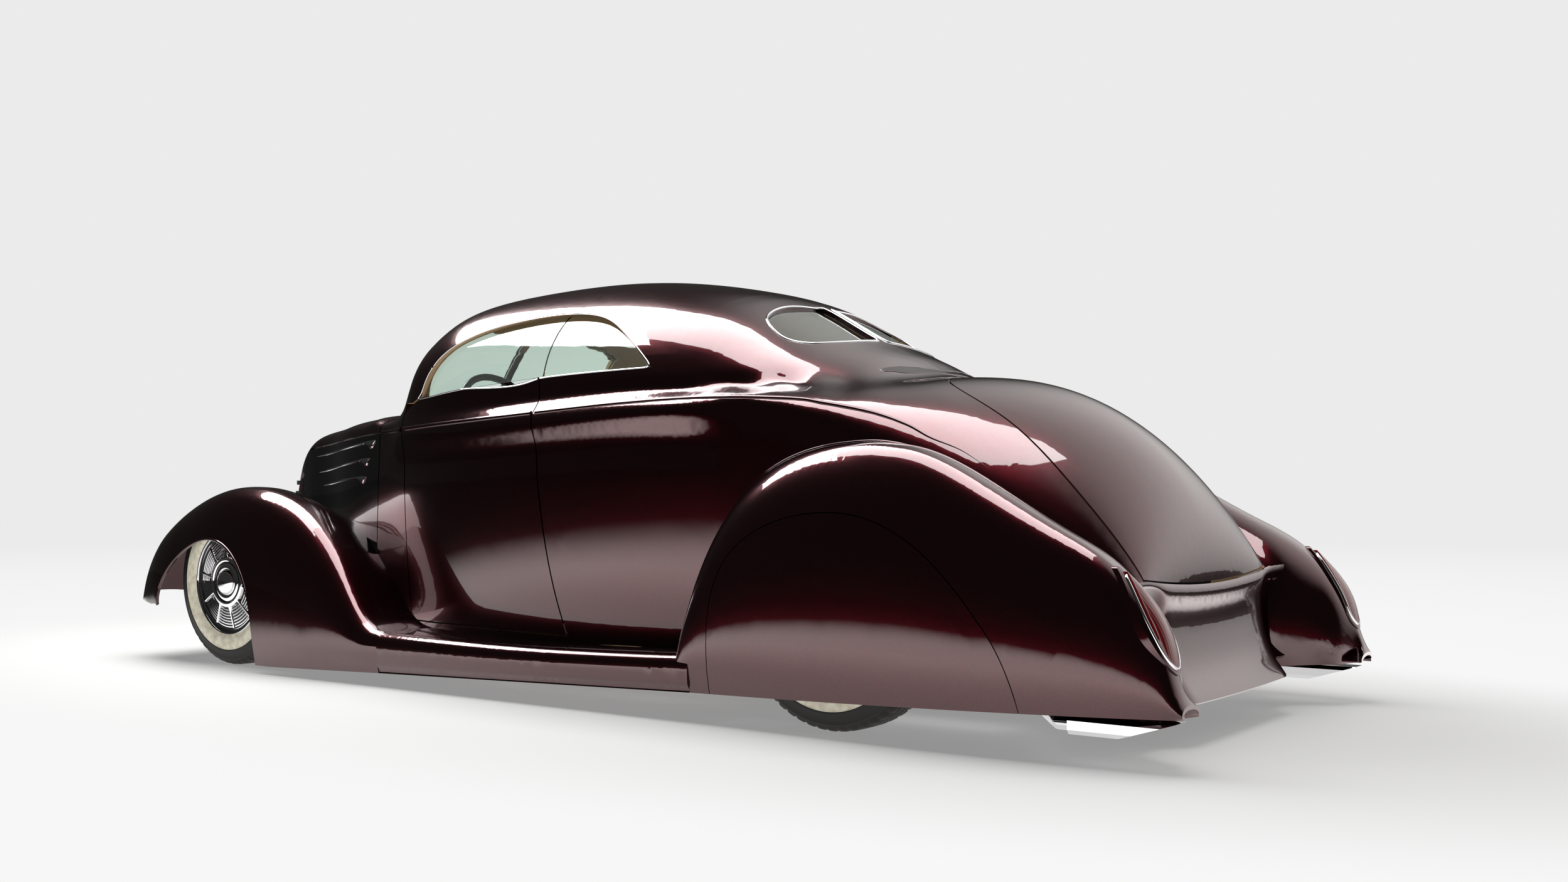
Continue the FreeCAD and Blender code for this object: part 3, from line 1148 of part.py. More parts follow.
# Floor with firewall, trunk floor and wheel tubs
floor_z = rail_top + mm.seat_gap
trunk_z = mm.rail_kick + mm.rail_height + mm.seat_gap
cabin_rear = 0.79 * mm.wheelbase
firewall = hood_rear + 3 * mm.shut_gap
firewall_top = 0.66 * mm.body_height
trunk_end = 1.24 * mm.wheelbase
floor_line = [(firewall, firewall_top), (firewall, floor_z), (cabin_rear, floor_z),
              (cabin_rear, trunk_z), (trunk_end, trunk_z)]
floor_under = [(trunk_end, trunk_z + mm.floor_wall), (cabin_rear - mm.floor_wall, trunk_z + mm.floor_wall),
               (cabin_rear - mm.floor_wall, floor_z + mm.floor_wall),
               (firewall + mm.floor_wall, floor_z + mm.floor_wall), (firewall + mm.floor_wall, firewall_top)]
floor_points = side_vectors(floor_line + floor_under)
floor_face = Part.Face(Part.makePolygon(floor_points + [floor_points[0]]))
floor = side_tool(floor_face, -far_y, far_y).common(body_inner)
tub_outer = Part.makeCylinder(mm.tub_radius + mm.floor_wall, far_y - tub_side + mm.floor_wall,
                              V(rear_axle_x, tub_side - mm.floor_wall, wheel_z), V(0, 1, 0))
tubs = tub_outer.fuse(mirrored(tub_outer)).common(body_inner)
tubs = tubs.common(station_box(cabin_rear, body_end, far_y, floor_z, mm.body_height))
axle_hole = Part.makeCylinder(mm.rear_tube_radius + 2 * mm.shut_gap, 2 * far_y,
                              V(rear_axle_x, -far_y, wheel_z),
                              V(0, 1, 0))
floor = floor.fuse(tubs).cut(wheel_house).cut(mirrored(wheel_house)).cut(axle_hole)
add("floor_pan", largest(floor))

# Steering wheel on its column
STEERING_TILT = 62
SPOKE_TURNS = (90, 210, 330)
TUBE = "sizes.steering_tube"
steering_parts = []


def round_bar(name, radius, length, low, rotation):
    bar = document.addObject("Part::Cylinder", name)
    bar.setExpression("Radius", radius)
    bar.setExpression("Height", length)
    bar.Placement.Rotation = rotation
    if low != "0":
        bar.setExpression("Placement.Base.z", low)
    return bar


upright = FreeCAD.Rotation()
ring = document.addObject("Part::Torus", "steering_ring")
ring.setExpression("Radius1", "sizes.steering_radius")
ring.setExpression("Radius2", TUBE)
steering_parts.append(ring)
steering_parts.append(round_bar("steering_hub", f"3 * {TUBE}", f"3 * {TUBE}", f"-2 * {TUBE}", upright))
COLUMN = f"(0.056 * sizes.wheelbase - 0.75 * {TUBE})"
steering_parts.append(round_bar("steering_column", f"1.4 * {TUBE}", COLUMN, f"-{COLUMN}", upright))
for spoke_turn in SPOKE_TURNS:
    rotation = FreeCAD.Rotation(V(0, 0, 1), spoke_turn).multiply(FreeCAD.Rotation(V(0, 1, 0), 90))
    spoke = round_bar(f"spoke_{spoke_turn}", f"0.6 * {TUBE}", "sizes.steering_radius", "0", rotation)
    steering_parts.append(spoke)
steering_wheel = document.addObject("Part::MultiFuse", "steering_wheel")
steering_wheel.Label = "steering_wheel"
steering_wheel.Shapes = steering_parts
steering_wheel.Placement.Rotation = FreeCAD.Rotation(V(0, 1, 0), -STEERING_TILT)
steering_wheel.setExpression("Placement.Base.x", f"{AXLE_X} - 0.385 * sizes.wheelbase")
steering_wheel.setExpression("Placement.Base.y", "0.43 * sizes.body_half_width")
steering_wheel.setExpression("Placement.Base.z", "0.655 * sizes.body_height")
nodes.append(steering_wheel)
document.recompute()

# Dashboard across the cabin
dash_shares = [("-0.266", "0.632"), ("-0.315", "0.638"), ("-0.335", "0.61"), ("-0.330", "0.535"),
               ("-0.300", "0.52"), ("-0.266", "0.56")]
dashboard = new_body("dashboard", AXLE_X)
dash_sketch = new_sketch(dashboard, "dash_outline", "XZ_Plane")
draw_outline(dash_sketch, [(f"{along} * sizes.wheelbase", f"{up} * sizes.body_height")
                           for along, up in dash_shares])
padded(dashboard, "dash", dash_sketch, "1.32 * sizes.body_half_width", middle=True)

# Exhausts: on each side a silencer, a bent pipe and a flat tip cut off at a slant
END = "(sizes.wheelbase + sizes.rear_overhang)"
MUFFLER_Y = f"-0.41 * {SIDE_Y}"
exhaust = document.addObject("PartDesign::Body", "left_exhaust")
exhaust.setExpression("Placement.Base.x", AXLE_X)
exhaust.setExpression("Placement.Base.y", f"0.86 * {SIDE_Y}")
exhaust.setExpression("Placement.Base.z", "sizes.tip_level")


def flat_tube(name, offset, inset):
    across = f"(sizes.tip_width - {inset})"
    up = f"(sizes.tip_height - {inset})"
    sketch = new_sketch(exhaust, name, "YZ_Plane", offset)
    draw_outline(sketch, [(f"-{across}", f"-0.5 * {up}"), (f"-0.8 * {across}", f"-{up}"),
                          (f"0.8 * {across}", f"-{up}"), (across, f"-0.5 * {up}"), (across, f"0.5 * {up}"),
                          (f"0.8 * {across}", up), (f"-0.8 * {across}", up), (f"-{across}", f"0.5 * {up}")])
    return sketch


tip_sketch = flat_tube("tip_outline", f"-{END}", "0")
padded(exhaust, "tip", tip_sketch, "0.11 * sizes.wheelbase")
bore_sketch = flat_tube("tip_bore", f"-{END}", "sizes.seam_gap")
padded(exhaust, "bore", bore_sketch, "0.08 * sizes.wheelbase", kind="PartDesign::Pocket", reverse=True)
slant_sketch = new_sketch(exhaust, "slant_outline", "XZ_Plane")
draw_outline(slant_sketch, [(f"-{END} - sizes.overrun", "-2 * sizes.tip_height"),
                            (f"-{END} + 0.062 * sizes.wheelbase", "-2 * sizes.tip_height"),
                            (f"-{END} + 0.062 * sizes.wheelbase", "-sizes.tip_height"),
                            (f"-{END} + 0.004 * sizes.wheelbase", "1.2 * sizes.tip_height"),
                            (f"-{END} - sizes.overrun", "1.2 * sizes.tip_height")])
padded(exhaust, "slant", slant_sketch, "4 * sizes.tip_width", kind="PartDesign::Pocket", middle=True)
path_sketch = new_sketch(exhaust, "pipe_path", "XY_Plane")
path = [(f"-{END} + 0.10 * sizes.wheelbase", "0"), (f"-{END} + 0.125 * sizes.wheelbase", "0"),
        (f"-{END} + 0.215 * sizes.wheelbase", MUFFLER_Y), (f"-{END} + 0.25 * sizes.wheelbase", MUFFLER_Y)]
places = [V(float(path_sketch.evalExpression(along)), float(path_sketch.evalExpression(across)), 0)
          for along, across in path]
for i in range(len(places) - 1):
    path_sketch.addGeometry(Part.LineSegment(places[i], places[i + 1]))
    tie(path_sketch, i, path[i])
for i in range(len(places) - 2):
    path_sketch.addConstraint(Sketcher.Constraint("Coincident", i, 2, i + 1, 1))
last_line = len(places) - 2
end_number = path_sketch.addConstraint(
    Sketcher.Constraint("DistanceX", -1, 1, last_line, 2, places[-1].x))
path_sketch.setExpression(f"Constraints[{end_number}]", path[-1][0])
end_number = path_sketch.addConstraint(
    Sketcher.Constraint("DistanceY", -1, 1, last_line, 2, places[-1].y))
path_sketch.setExpression(f"Constraints[{end_number}]", path[-1][1])
pipe_sketch = new_sketch(exhaust, "pipe_outline", "YZ_Plane", path[0][0])
draw_circle(pipe_sketch, ("0", "0"), "0.85 * sizes.tip_height")
pipe = exhaust.newObject("PartDesign::AdditivePipe", "pipe")
pipe.Profile = pipe_sketch
pipe.Spine = path_sketch
pipe.Transition = "Round corner"
exhaust.Tip = pipe
muffler_sketch = new_sketch(exhaust, "muffler_outline", "YZ_Plane", f"-{END} + 0.24 * sizes.wheelbase")
draw_outline(muffler_sketch, [(f"{MUFFLER_Y} - 3 * sizes.pipe_radius", "-1.2 * sizes.pipe_radius"),
                              (f"{MUFFLER_Y} + 3 * sizes.pipe_radius", "-1.2 * sizes.pipe_radius"),
                              (f"{MUFFLER_Y} + 3 * sizes.pipe_radius", "1.2 * sizes.pipe_radius"),
                              (f"{MUFFLER_Y} - 3 * sizes.pipe_radius", "1.2 * sizes.pipe_radius")])
padded(exhaust, "muffler", muffler_sketch, "0.18 * sizes.wheelbase")
right_exhaust = document.addObject("Part::Mirroring", "right_exhaust")
right_exhaust.Source = exhaust
right_exhaust.Normal = V(0, 1, 0)
exhausts = document.addObject("Part::Compound", "exhausts")
exhausts.Label = "exhausts"
exhausts.Links = [exhaust, right_exhaust]
nodes.append(exhausts)

# Grille: level bars that follow the nose behind its openings
grille_shares = [(-0.166, 0.205), (-0.092, 0.205), (-0.082, 0.40), (-0.070, 0.52), (-0.088, 0.535),
                 (-0.125, 0.45), (-0.153, 0.33)]
grille_outline = [(along * mm.wheelbase, up * mm.body_height) for along, up in grille_shares]
grille_points = side_vectors(grille_outline)
grille_face = Part.Face(Part.makePolygon(grille_points + [grille_points[0]]))
spine = 6 * mm.seam_gap
bar_zone = side_tool(grille_face, spine, far_y)
nose_node = [node for node in nodes if node.Label == "nose"][0]
nose_node.Shape = nose_node.Shape.cut(bar_zone).cut(mirrored(bar_zone)).Solids[0]
bar_count = 10
bar_low = 0.21 * mm.body_height
bar_step = 0.031 * mm.body_height
bar_height = 0.4 * bar_step
bar_stations = 8


def skin_width(station, level):
    """Half width of the body skin at a height."""
    points = half_section(station)
    for (y0, z0), (y1, z1) in zip(points, points[1:]):
        if z0 <= level < z1:
            return y0 + (y1 - y0) * (level - z0) / (z1 - z0)
    return 0.0


def bar_ends(level):
    """Stations where the grille's outline crosses a height, front and rear."""
    crossings = []
    for (s0, z0), (s1, z1) in zip(grille_outline, grille_outline[1:] + grille_outline[:1]):
        if min(z0, z1) <= level < max(z0, z1):
            crossings.append(s0 + (s1 - s0) * (level - z0) / (z1 - z0))
    return min(crossings), max(crossings)


bars = []
for i in range(bar_count):
    level = bar_low + i * bar_step
    low_start, low_end = bar_ends(level)
    high_start, high_end = bar_ends(level + bar_height)
    start = max(low_start, high_start)
    end = min(low_end, high_end)
    outer_line = []
    for k in range(bar_stations + 1):
        station = start + bar_height + (end - start - bar_height - mm.seat_gap) * k / bar_stations
        width = min(skin_width(station, level), skin_width(station, level + bar_height)) - mm.seam_gap
        if width > spine + bar_height:
            outer_line.append((width, -station))
    inner_line = offset_line(outer_line, [bar_height] * len(outer_line))
    paths = [[V(front_axle_x - back, y, level) for y, back in [(y, -along) for y, along in line]]
             for line in (outer_line, inner_line[::-1])]
    face = outline_face([paths[0], [paths[0][-1], paths[1][0]], paths[1], [paths[1][-1], paths[0][0]]])
    bar = largest(face.extrude(V(0, 0, bar_height)).cut(front_fender))
    bars += [bar, mirrored(bar)]
add("grille_bars", Part.makeCompound(bars))

document.recompute()
os.makedirs("parts", exist_ok=True)
for item in document.Objects:
    if "Invalid" in item.State or "Error" in item.State:
        raise RuntimeError(item.Label + " failed")
for node in nodes:
    if node.Shape.isNull() or not node.Shape.isValid():
        raise RuntimeError(node.Label + " has no valid shape")
for node in nodes:
    node.Shape.exportStep(os.path.join("parts", node.Label + ".step"))
print(len(nodes), "pieces")
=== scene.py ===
# %% [markdown]
# # A full-fendered custom coupe
# The solid parts come in as a fixed frame. This lesson gives them paint, glass and bright metal,
# adds the small pieces that a solid model leaves out, and lights them as a studio would.

# %% Start
import json
import math

import bmesh
import bpy
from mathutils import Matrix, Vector
from mathutils.bvhtree import BVHTree


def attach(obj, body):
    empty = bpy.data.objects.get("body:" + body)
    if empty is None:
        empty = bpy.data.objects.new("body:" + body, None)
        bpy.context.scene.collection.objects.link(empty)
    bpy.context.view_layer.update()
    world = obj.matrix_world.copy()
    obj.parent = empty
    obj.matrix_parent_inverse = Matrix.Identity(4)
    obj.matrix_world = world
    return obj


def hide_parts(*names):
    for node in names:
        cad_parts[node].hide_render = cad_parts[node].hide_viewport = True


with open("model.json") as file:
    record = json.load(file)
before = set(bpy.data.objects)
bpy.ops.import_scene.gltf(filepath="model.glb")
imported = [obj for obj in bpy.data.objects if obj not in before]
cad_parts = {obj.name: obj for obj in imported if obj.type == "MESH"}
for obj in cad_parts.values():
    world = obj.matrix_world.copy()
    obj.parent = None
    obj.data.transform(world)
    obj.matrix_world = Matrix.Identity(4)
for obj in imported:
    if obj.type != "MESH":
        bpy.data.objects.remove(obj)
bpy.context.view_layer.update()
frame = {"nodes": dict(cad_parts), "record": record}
nodes = frame["nodes"]

# Lengths are in metres, +X is forward, +Y the car's left and +Z up, as in the solid parts.
MM = 0.001
AXLE_X = 1.665
WHEELBASE = 2.845
WHEEL_CENTRE = 0.325
TRACK_HALF = 0.67
print("solid parts:", len(nodes))

# %% [markdown]
# ## Colours and materials
# Colours are written as they look on a screen and turned into light values once, here. A pattern
# could be scaled by eye, but then it says nothing about the real thing, so each scale comes from
# the size of a real grain. One function adds every node, with its settings and links.

# %% Colour and node helpers
def colour(hex_code):
    values = [int(hex_code[i:i + 2], 16) / 255 for i in (1, 3, 5)]
    return tuple(v / 12.92 if v <= 0.04045 else ((v + 0.055) / 1.055) ** 2.4 for v in values) + (1.0,)


def grey(value):
    return (value, value, value, 1.0)


def grains(size_mm):
    """Scale of a pattern whose grains have a given real size."""
    return 1 / (size_mm * MM)


def new_material(name):
    material = bpy.data.materials.new(name)
    material.use_nodes = True
    return material, material.node_tree, material.node_tree.nodes["Principled BSDF"]


def feed(tree, node, inputs):
    """Gives a node's inputs a plain value or a link from another node."""
    for key, value in inputs.items():
        if isinstance(value, bpy.types.NodeSocket):
            tree.links.new(value, node.inputs[key])
        else:
            node.inputs[key].default_value = value


def add_node(tree, kind, inputs=None, stops=(), **settings):
    """Adds a node with its settings, its inputs and the stops of its colour ramp."""
    node = tree.nodes.new(kind)
    for key, value in settings.items():
        setattr(node, key, value)
    feed(tree, node, inputs or {})
    if stops:
        for element, (place, tint) in zip(node.color_ramp.elements, stops):
            element.position, element.color = place, tint
    return node


# %% [markdown]
# ## Car paint
# Black cherry is a metallic enamel: fine flakes in a dark red base, sprayed, then covered by a
# clear coat that was polished. One plain dark red would stay dull near the lamps. So the base is
# metallic and grainy, and the coat over it is glossy with the faint ripple of sprayed paint.

# %% Car paint
def black_cherry_paint(name, deep, glow):
    """Metallic base that glows red near the light, under a clear polished coat."""
    material, tree, shader = new_material(name)
    place = add_node(tree, "ShaderNodeTexCoord").outputs["Object"]
    flakes = add_node(tree, "ShaderNodeTexNoise", {"Vector": place, "Scale": grains(1.4), "Detail": 2.0})
    drift = add_node(tree, "ShaderNodeTexNoise", {"Vector": place, "Scale": grains(300), "Detail": 2.0})
    tint = add_node(tree, "ShaderNodeValToRGB", {"Fac": flakes.outputs["Fac"]},
                    [(0.35, colour(deep)), (0.75, colour(glow))])
    shades = {"Factor": drift.outputs["Fac"], "A": tint.outputs["Color"], "B": (0.9, 0.85, 0.85, 1.0)}
    mixed = add_node(tree, "ShaderNodeMix", shades, data_type="RGBA", blend_type="MULTIPLY")
    rough = add_node(tree, "ShaderNodeValToRGB", {"Fac": flakes.outputs["Fac"]},
                     [(0.3, grey(0.18)), (0.7, grey(0.25))])
    peel = add_node(tree, "ShaderNodeTexNoise", {"Vector": place, "Scale": grains(2.2), "Detail": 1.0})
    ripple = add_node(tree, "ShaderNodeBump", {"Height": peel.outputs["Fac"], "Distance": 0.004 * MM})
    feed(tree, shader, {"Base Color": mixed.outputs["Result"], "Roughness": rough.outputs["Color"],
                        "Metallic": 0.95, "Coat Weight": 1.0, "Coat Roughness": 0.02, "Coat IOR": 1.6,
                        "Coat Normal": ripple.outputs["Normal"]})
    return material


paint = black_cherry_paint("black_cherry_paint", "#170205", "#560815")
# The hood sides get a darker blue-black paint than the body: painted shade on the hood sides.
shadow_paint = black_cherry_paint("painted_shade_blue_black_paint", "#08090c", "#14161d")
print("paints:", paint.name, shadow_paint.name)

# %% [markdown]
# ## Cloth inside the painted walls
# The cabin is trimmed with tan woven cloth, glued to the inside of the same panels. The lining
# could be a second skin of its own, but a thin skin flickers through the paint at the shut
# lines. So one material looks at where a face is and which way it faces, and picks paint or cloth.

# %% Paint with cloth inside
CABIN_CENTRE = (0.0, 0.0, 0.75)
CABIN_FRONT = 0.80
CABIN_WEIGHTS = (0.15, 1.0, 1.0)
INWARD_LIMIT = -0.12


def lined_with_cloth(name, outer, hex_code):
    """Paint outside and cloth on every face of the wall that looks into the cabin."""
    material = outer.copy()
    material.name = name
    tree = material.node_tree
    place = add_node(tree, "ShaderNodeTexCoord").outputs["Object"]
    normal = add_node(tree, "ShaderNodeNewGeometry").outputs["Normal"]
    outward = add_node(tree, "ShaderNodeVectorMath", {0: place, 1: CABIN_CENTRE}, operation="SUBTRACT")
    weighted = add_node(tree, "ShaderNodeVectorMath", {0: outward.outputs["Vector"], 1: CABIN_WEIGHTS},
                        operation="MULTIPLY")
    facing = add_node(tree, "ShaderNodeVectorMath", {0: weighted.outputs["Vector"], 1: normal},
                      operation="DOT_PRODUCT")
    inward = add_node(tree, "ShaderNodeMath", {0: facing.outputs["Value"], 1: INWARD_LIMIT},
                      operation="LESS_THAN")
    along = add_node(tree, "ShaderNodeSeparateXYZ", {"Vector": place})
    behind = add_node(tree, "ShaderNodeMath", {0: along.outputs["X"], 1: CABIN_FRONT},
                      operation="LESS_THAN")
    inside = add_node(tree, "ShaderNodeMath", {0: inward.outputs["Value"], 1: behind.outputs["Value"]},
                      operation="MULTIPLY")
    weave = add_node(tree, "ShaderNodeTexNoise", {"Vector": place, "Scale": grains(1.1), "Detail": 3.0})
    base = colour(hex_code)
    dark = tuple(v * 0.75 for v in base[:3]) + (1.0,)
    tint = add_node(tree, "ShaderNodeValToRGB", {"Fac": weave.outputs["Fac"]}, [(0.3, dark), (0.7, base)])
    nap = add_node(tree, "ShaderNodeBump", {"Height": weave.outputs["Fac"], "Distance": 0.1 * MM})
    cloth = add_node(tree, "ShaderNodeBsdfPrincipled", {"Base Color": tint.outputs["Color"], "Roughness": 0.9,
                                                        "Normal": nap.outputs["Normal"]})
    painted = tree.nodes["Principled BSDF"].outputs[0]
    lining = add_node(tree, "ShaderNodeMixShader", {0: inside.outputs["Value"], 1: painted,
                                                    2: cloth.outputs[0]})
    feed(tree, tree.nodes["Material Output"], {"Surface": lining.outputs[0]})
    return material


lined_paint = lined_with_cloth("black_cherry_paint_tan_lining", paint, "#c9a983")
print("lining:", lined_paint.name)

# %% [markdown]
# ## Bright metal
# The wheel covers, lamp rims and window trim are chromed steel, buffed to a mirror. A mirror
# without any flaw looks drawn, so a cloudy haze and fine buffing marks vary its sheen.

# %% Bright metal
def polished_metal(name, hex_code, rough, scratch_mm=0.6):
    material, tree, shader = new_material(name)
    place = add_node(tree, "ShaderNodeTexCoord").outputs["Object"]
    haze = add_node(tree, "ShaderNodeTexNoise", {"Vector": place, "Scale": grains(40), "Detail": 6.0})
    tone = add_node(tree, "ShaderNodeValToRGB", {"Fac": haze.outputs["Fac"]},
                    [(0.3, grey(rough * 0.7)), (0.75, grey(rough * 1.6))])
    fine = add_node(tree, "ShaderNodeTexNoise", {"Vector": place, "Scale": grains(scratch_mm), "Detail": 2.0})
    marks = add_node(tree, "ShaderNodeBump", {"Height": fine.outputs["Fac"], "Distance": 0.003 * MM})
    feed(tree, shader, {"Base Color": colour(hex_code), "Metallic": 1.0, "Roughness": tone.outputs["Color"],
                        "Normal": marks.outputs["Normal"]})
    return material


chrome = polished_metal("polished_chrome", "#e9ebee", 0.03)
print("bright metal:", chrome.name)

# %% [markdown]
# ## Moulded, painted and sewn surfaces
# Rubber, iron, leather and plastic differ in colour, sheen and the size of their grain. Each
# could have a material of its own, but the same few nodes serve all of them: the grain tints the
# colour, breaks up the sheen and raises the surface by a real depth in millimetres.

# %% Matt and satin finishes
def satin(name, hex_code, rough, grain_mm, depth_mm, metallic=0.0):
    """Painted or moulded surface with a fine grain."""
    material, tree, shader = new_material(name)
    place = add_node(tree, "ShaderNodeTexCoord").outputs["Object"]
    grain = add_node(tree, "ShaderNodeTexNoise", {"Vector": place, "Scale": grains(grain_mm), "Detail": 4.0})
    height = grain.outputs["Fac"]
    base = colour(hex_code)
    dark = tuple(v * 0.72 for v in base[:3]) + (1.0,)
    light = tuple(min(1.0, v * 1.2) for v in base[:3]) + (1.0,)
    tint = add_node(tree, "ShaderNodeValToRGB", {"Fac": height}, [(0.3, dark), (0.7, light)])
    matt = min(1.0, rough * 1.15)
    tone = add_node(tree, "ShaderNodeValToRGB", {"Fac": height},
                    [(0.3, grey(rough * 0.85)), (0.7, grey(matt))])
    rise = add_node(tree, "ShaderNodeBump", {"Height": height, "Distance": depth_mm * MM})
    feed(tree, shader, {"Base Color": tint.outputs["Color"], "Roughness": tone.outputs["Color"],
                        "Metallic": metallic, "Normal": rise.outputs["Normal"]})
    return material


rubber = satin("black_rubber", "#151515", 0.62, 1.2, 0.12)
tread_rubber = satin("tread_rubber", "#1c1b1a", 0.78, 3.0, 0.25)
white_rubber = satin("cream_whitewall", "#fdf2d8", 0.5, 25, 0.05)
# The same satin black also lies in the wheel covers' grooves and on their back, as painted shade.
frame_black = satin("satin_chassis_black", "#101011", 0.42, 2.0, 0.03)
cast_metal = satin("painted_iron", "#34363a", 0.5, 1.5, 0.12, 0.4)
aluminium = satin("satin_aluminium", "#9a9ca0", 0.34, 0.8, 0.03, 1.0)
tan_leather = satin("tan_leather", "#a98560", 0.48, 2.2, 0.22)
dark_plastic = satin("gloss_black_plastic", "#0b0b0c", 0.12, 1.0, 0.004)
floor_paint = satin("dark_carpet", "#2a2320", 0.95, 1.1, 0.5)

# %% [markdown]
# ## Glass and lenses
# The windows are lightly green float glass and the lamps have clear or red moulded lenses. Glass
# lets light through, so the cabin shows. The red lens lets little through and has moulded flutes,
# which show as stripes. A low specular level keeps the windows from turning into mirrors.

# %% Glass and lenses
def clear_glass(name, hex_code, rough=0.0):
    material, tree, shader = new_material(name)
    feed(tree, shader, {"Base Color": colour(hex_code), "Transmission Weight": 1.0, "IOR": 1.52,
                        "Specular IOR Level": 0.15, "Roughness": rough})
    return material


window_glass = clear_glass("green_tinted_glass", "#e9f5ee")
lens_glass = clear_glass("clear_lens", "#f2f4f6")
smoked_lens = clear_glass("smoked_red_lens", "#3a0508", 0.05)

red_lens, red_tree, red_shader = new_material("red_lens")
moulded = add_node(red_tree, "ShaderNodeTexCoord").outputs["Object"]
flutes = add_node(red_tree, "ShaderNodeTexWave", {"Vector": moulded, "Scale": 42.0}, bands_direction="Y")
fluted = add_node(red_tree, "ShaderNodeBump", {"Height": flutes.outputs["Fac"], "Distance": 0.4 * MM})
feed(red_tree, red_shader, {"Base Color": colour("#6d070d"), "Transmission Weight": 0.35, "IOR": 1.5,
                            "Roughness": 0.08, "Coat Weight": 1.0, "Normal": fluted.outputs["Normal"]})
print("glass:", window_glass.name, lens_glass.name, smoked_lens.name, red_lens.name)


# %% [markdown]
# ## Lamp rims
# The rims of the head lamps are chromed and those of the tail lamps are painted with the
# fenders, but one solid part holds all of them. A material that switches at the middle of the
# car saves cutting that part in two.

# %% Lamp rims
def front_only(name, front, rear):
    """Front finish ahead of the cabin and rear finish behind it, on one solid part."""
    material = rear.copy()
    material.name = name
    tree = material.node_tree
    place = add_node(tree, "ShaderNodeTexCoord").outputs["Object"]
    parts = add_node(tree, "ShaderNodeSeparateXYZ", {"Vector": place})
    ahead = add_node(tree, "ShaderNodeMath", {0: parts.outputs["X"], 1: 0.0}, operation="GREATER_THAN")
    haze = add_node(tree, "ShaderNodeTexNoise", {"Vector": place, "Scale": grains(40), "Detail": 6.0})
    tone = add_node(tree, "ShaderNodeValToRGB", {"Fac": haze.outputs["Fac"]},
                    [(0.3, grey(0.02)), (0.75, grey(0.05))])
    bright = add_node(tree, "ShaderNodeBsdfPrincipled", {"Metallic": 1.0, "Base Color": colour(front),
                                                         "Roughness": tone.outputs["Color"]})
    painted = tree.nodes["Principled BSDF"].outputs[0]
    both = add_node(tree, "ShaderNodeMixShader", {0: ahead.outputs["Value"], 1: painted,
                                                  2: bright.outputs[0]})
    feed(tree, tree.nodes["Material Output"], {"Surface": both.outputs[0]})
    return material


rim_finish = front_only("chrome_ahead_paint_behind", "#e9ebee", paint)

# %% [markdown]
# ## Dressing the solid parts
# Each solid part says what kind of surface it has. The finishes could be set one by one, but a
# table from kind to finish is shorter and leaves only the few parts that differ from it.

# %% Materials on the solid parts
FINISHES = {"tyre": rubber, "wheel": chrome, "glass": window_glass, "head_lens": lens_glass,
            "tail_lens": red_lens, "chrome": chrome, "frame_black": frame_black, "iron": cast_metal,
            "aluminium": aluminium, "leather": tan_leather, "black_plastic": dark_plastic,
            "floor_paint": floor_paint, "paint": paint}
slot_of = {part["node"]: part["material_slot"] for part in frame["record"]["subparts"]}
for label, node in nodes.items():
    finish = FINISHES[slot_of[label]]
    if label == "dashboard":
        finish = dark_plastic
    if label in ("roof", "cowl", "door_left", "door_right", "quarter_left", "quarter_right"):
        finish = lined_paint
    if label == "lamp_rims":
        finish = rim_finish
    # The hood sides take the blue-black paint as painted shade.
    if label in ("hood_side_left", "hood_side_right"):
        finish = shadow_paint
    if node.data.materials:
        for index in range(len(node.data.materials)):
            node.data.materials[index] = finish
    else:
        node.data.materials.append(finish)
print("finishes in use:", len(set(FINISHES.values())))

# %% [markdown]
# ## Studio
# The car stands on a pale floor in a plain studio. One big lamp would light its flanks as well, so
# two long soft boxes hang overhead. They draw the highlights along the roof and fenders, the front
# one brighter, and the unlit room keeps the flanks dark.

# %% Camera
CAMERA_PLACE = (-3.751, 4.505, 0.725)
CAMERA_HEADING = math.radians(-144.04)
SENSOR_WIDTH = 36
FOCAL_LENGTH = 36.47
LENS_RISE = 0.0248
FARTHEST = 200
camera_data = bpy.data.cameras.new("camera")
camera_data.sensor_width = SENSOR_WIDTH
camera_data.lens = FOCAL_LENGTH
camera_data.shift_y = LENS_RISE
camera_data.clip_end = FARTHEST
camera = bpy.data.objects.new("camera", camera_data)
camera.location = CAMERA_PLACE
camera.rotation_euler = (math.radians(90), 0, CAMERA_HEADING)
bpy.context.collection.objects.link(camera)
bpy.context.scene.camera = camera
bpy.context.scene.view_settings.view_transform = "Standard"
print("camera at", CAMERA_PLACE, "with a focal length of", FOCAL_LENGTH, "mm")

# %% [markdown]
# ## Floor
# A painted floor alone would turn grey towards the horizon. So only the patch round the car is
# paint, which keeps the shadow, and further out the floor shines in the background's colour.
# What the car mirrors of it fades with distance.

# %% Floor and background
FLOOR_REACH = 60
BACKDROP = "#ebebeb"
SHADOW_FROM, SHADOW_TO = 1.25, 2.2
SHADOW_GLOW = 0.3
GLOW_CENTRE_SHIFT = (0.9, 0.0, 0.0)
GLOW_FROM, GLOW_TO = 2.6, 4.9
GLOW_BRIGHT, GLOW_DARK = 2.6, 0.02
PALE_FROM, PALE_TO = 3.0, 14.0


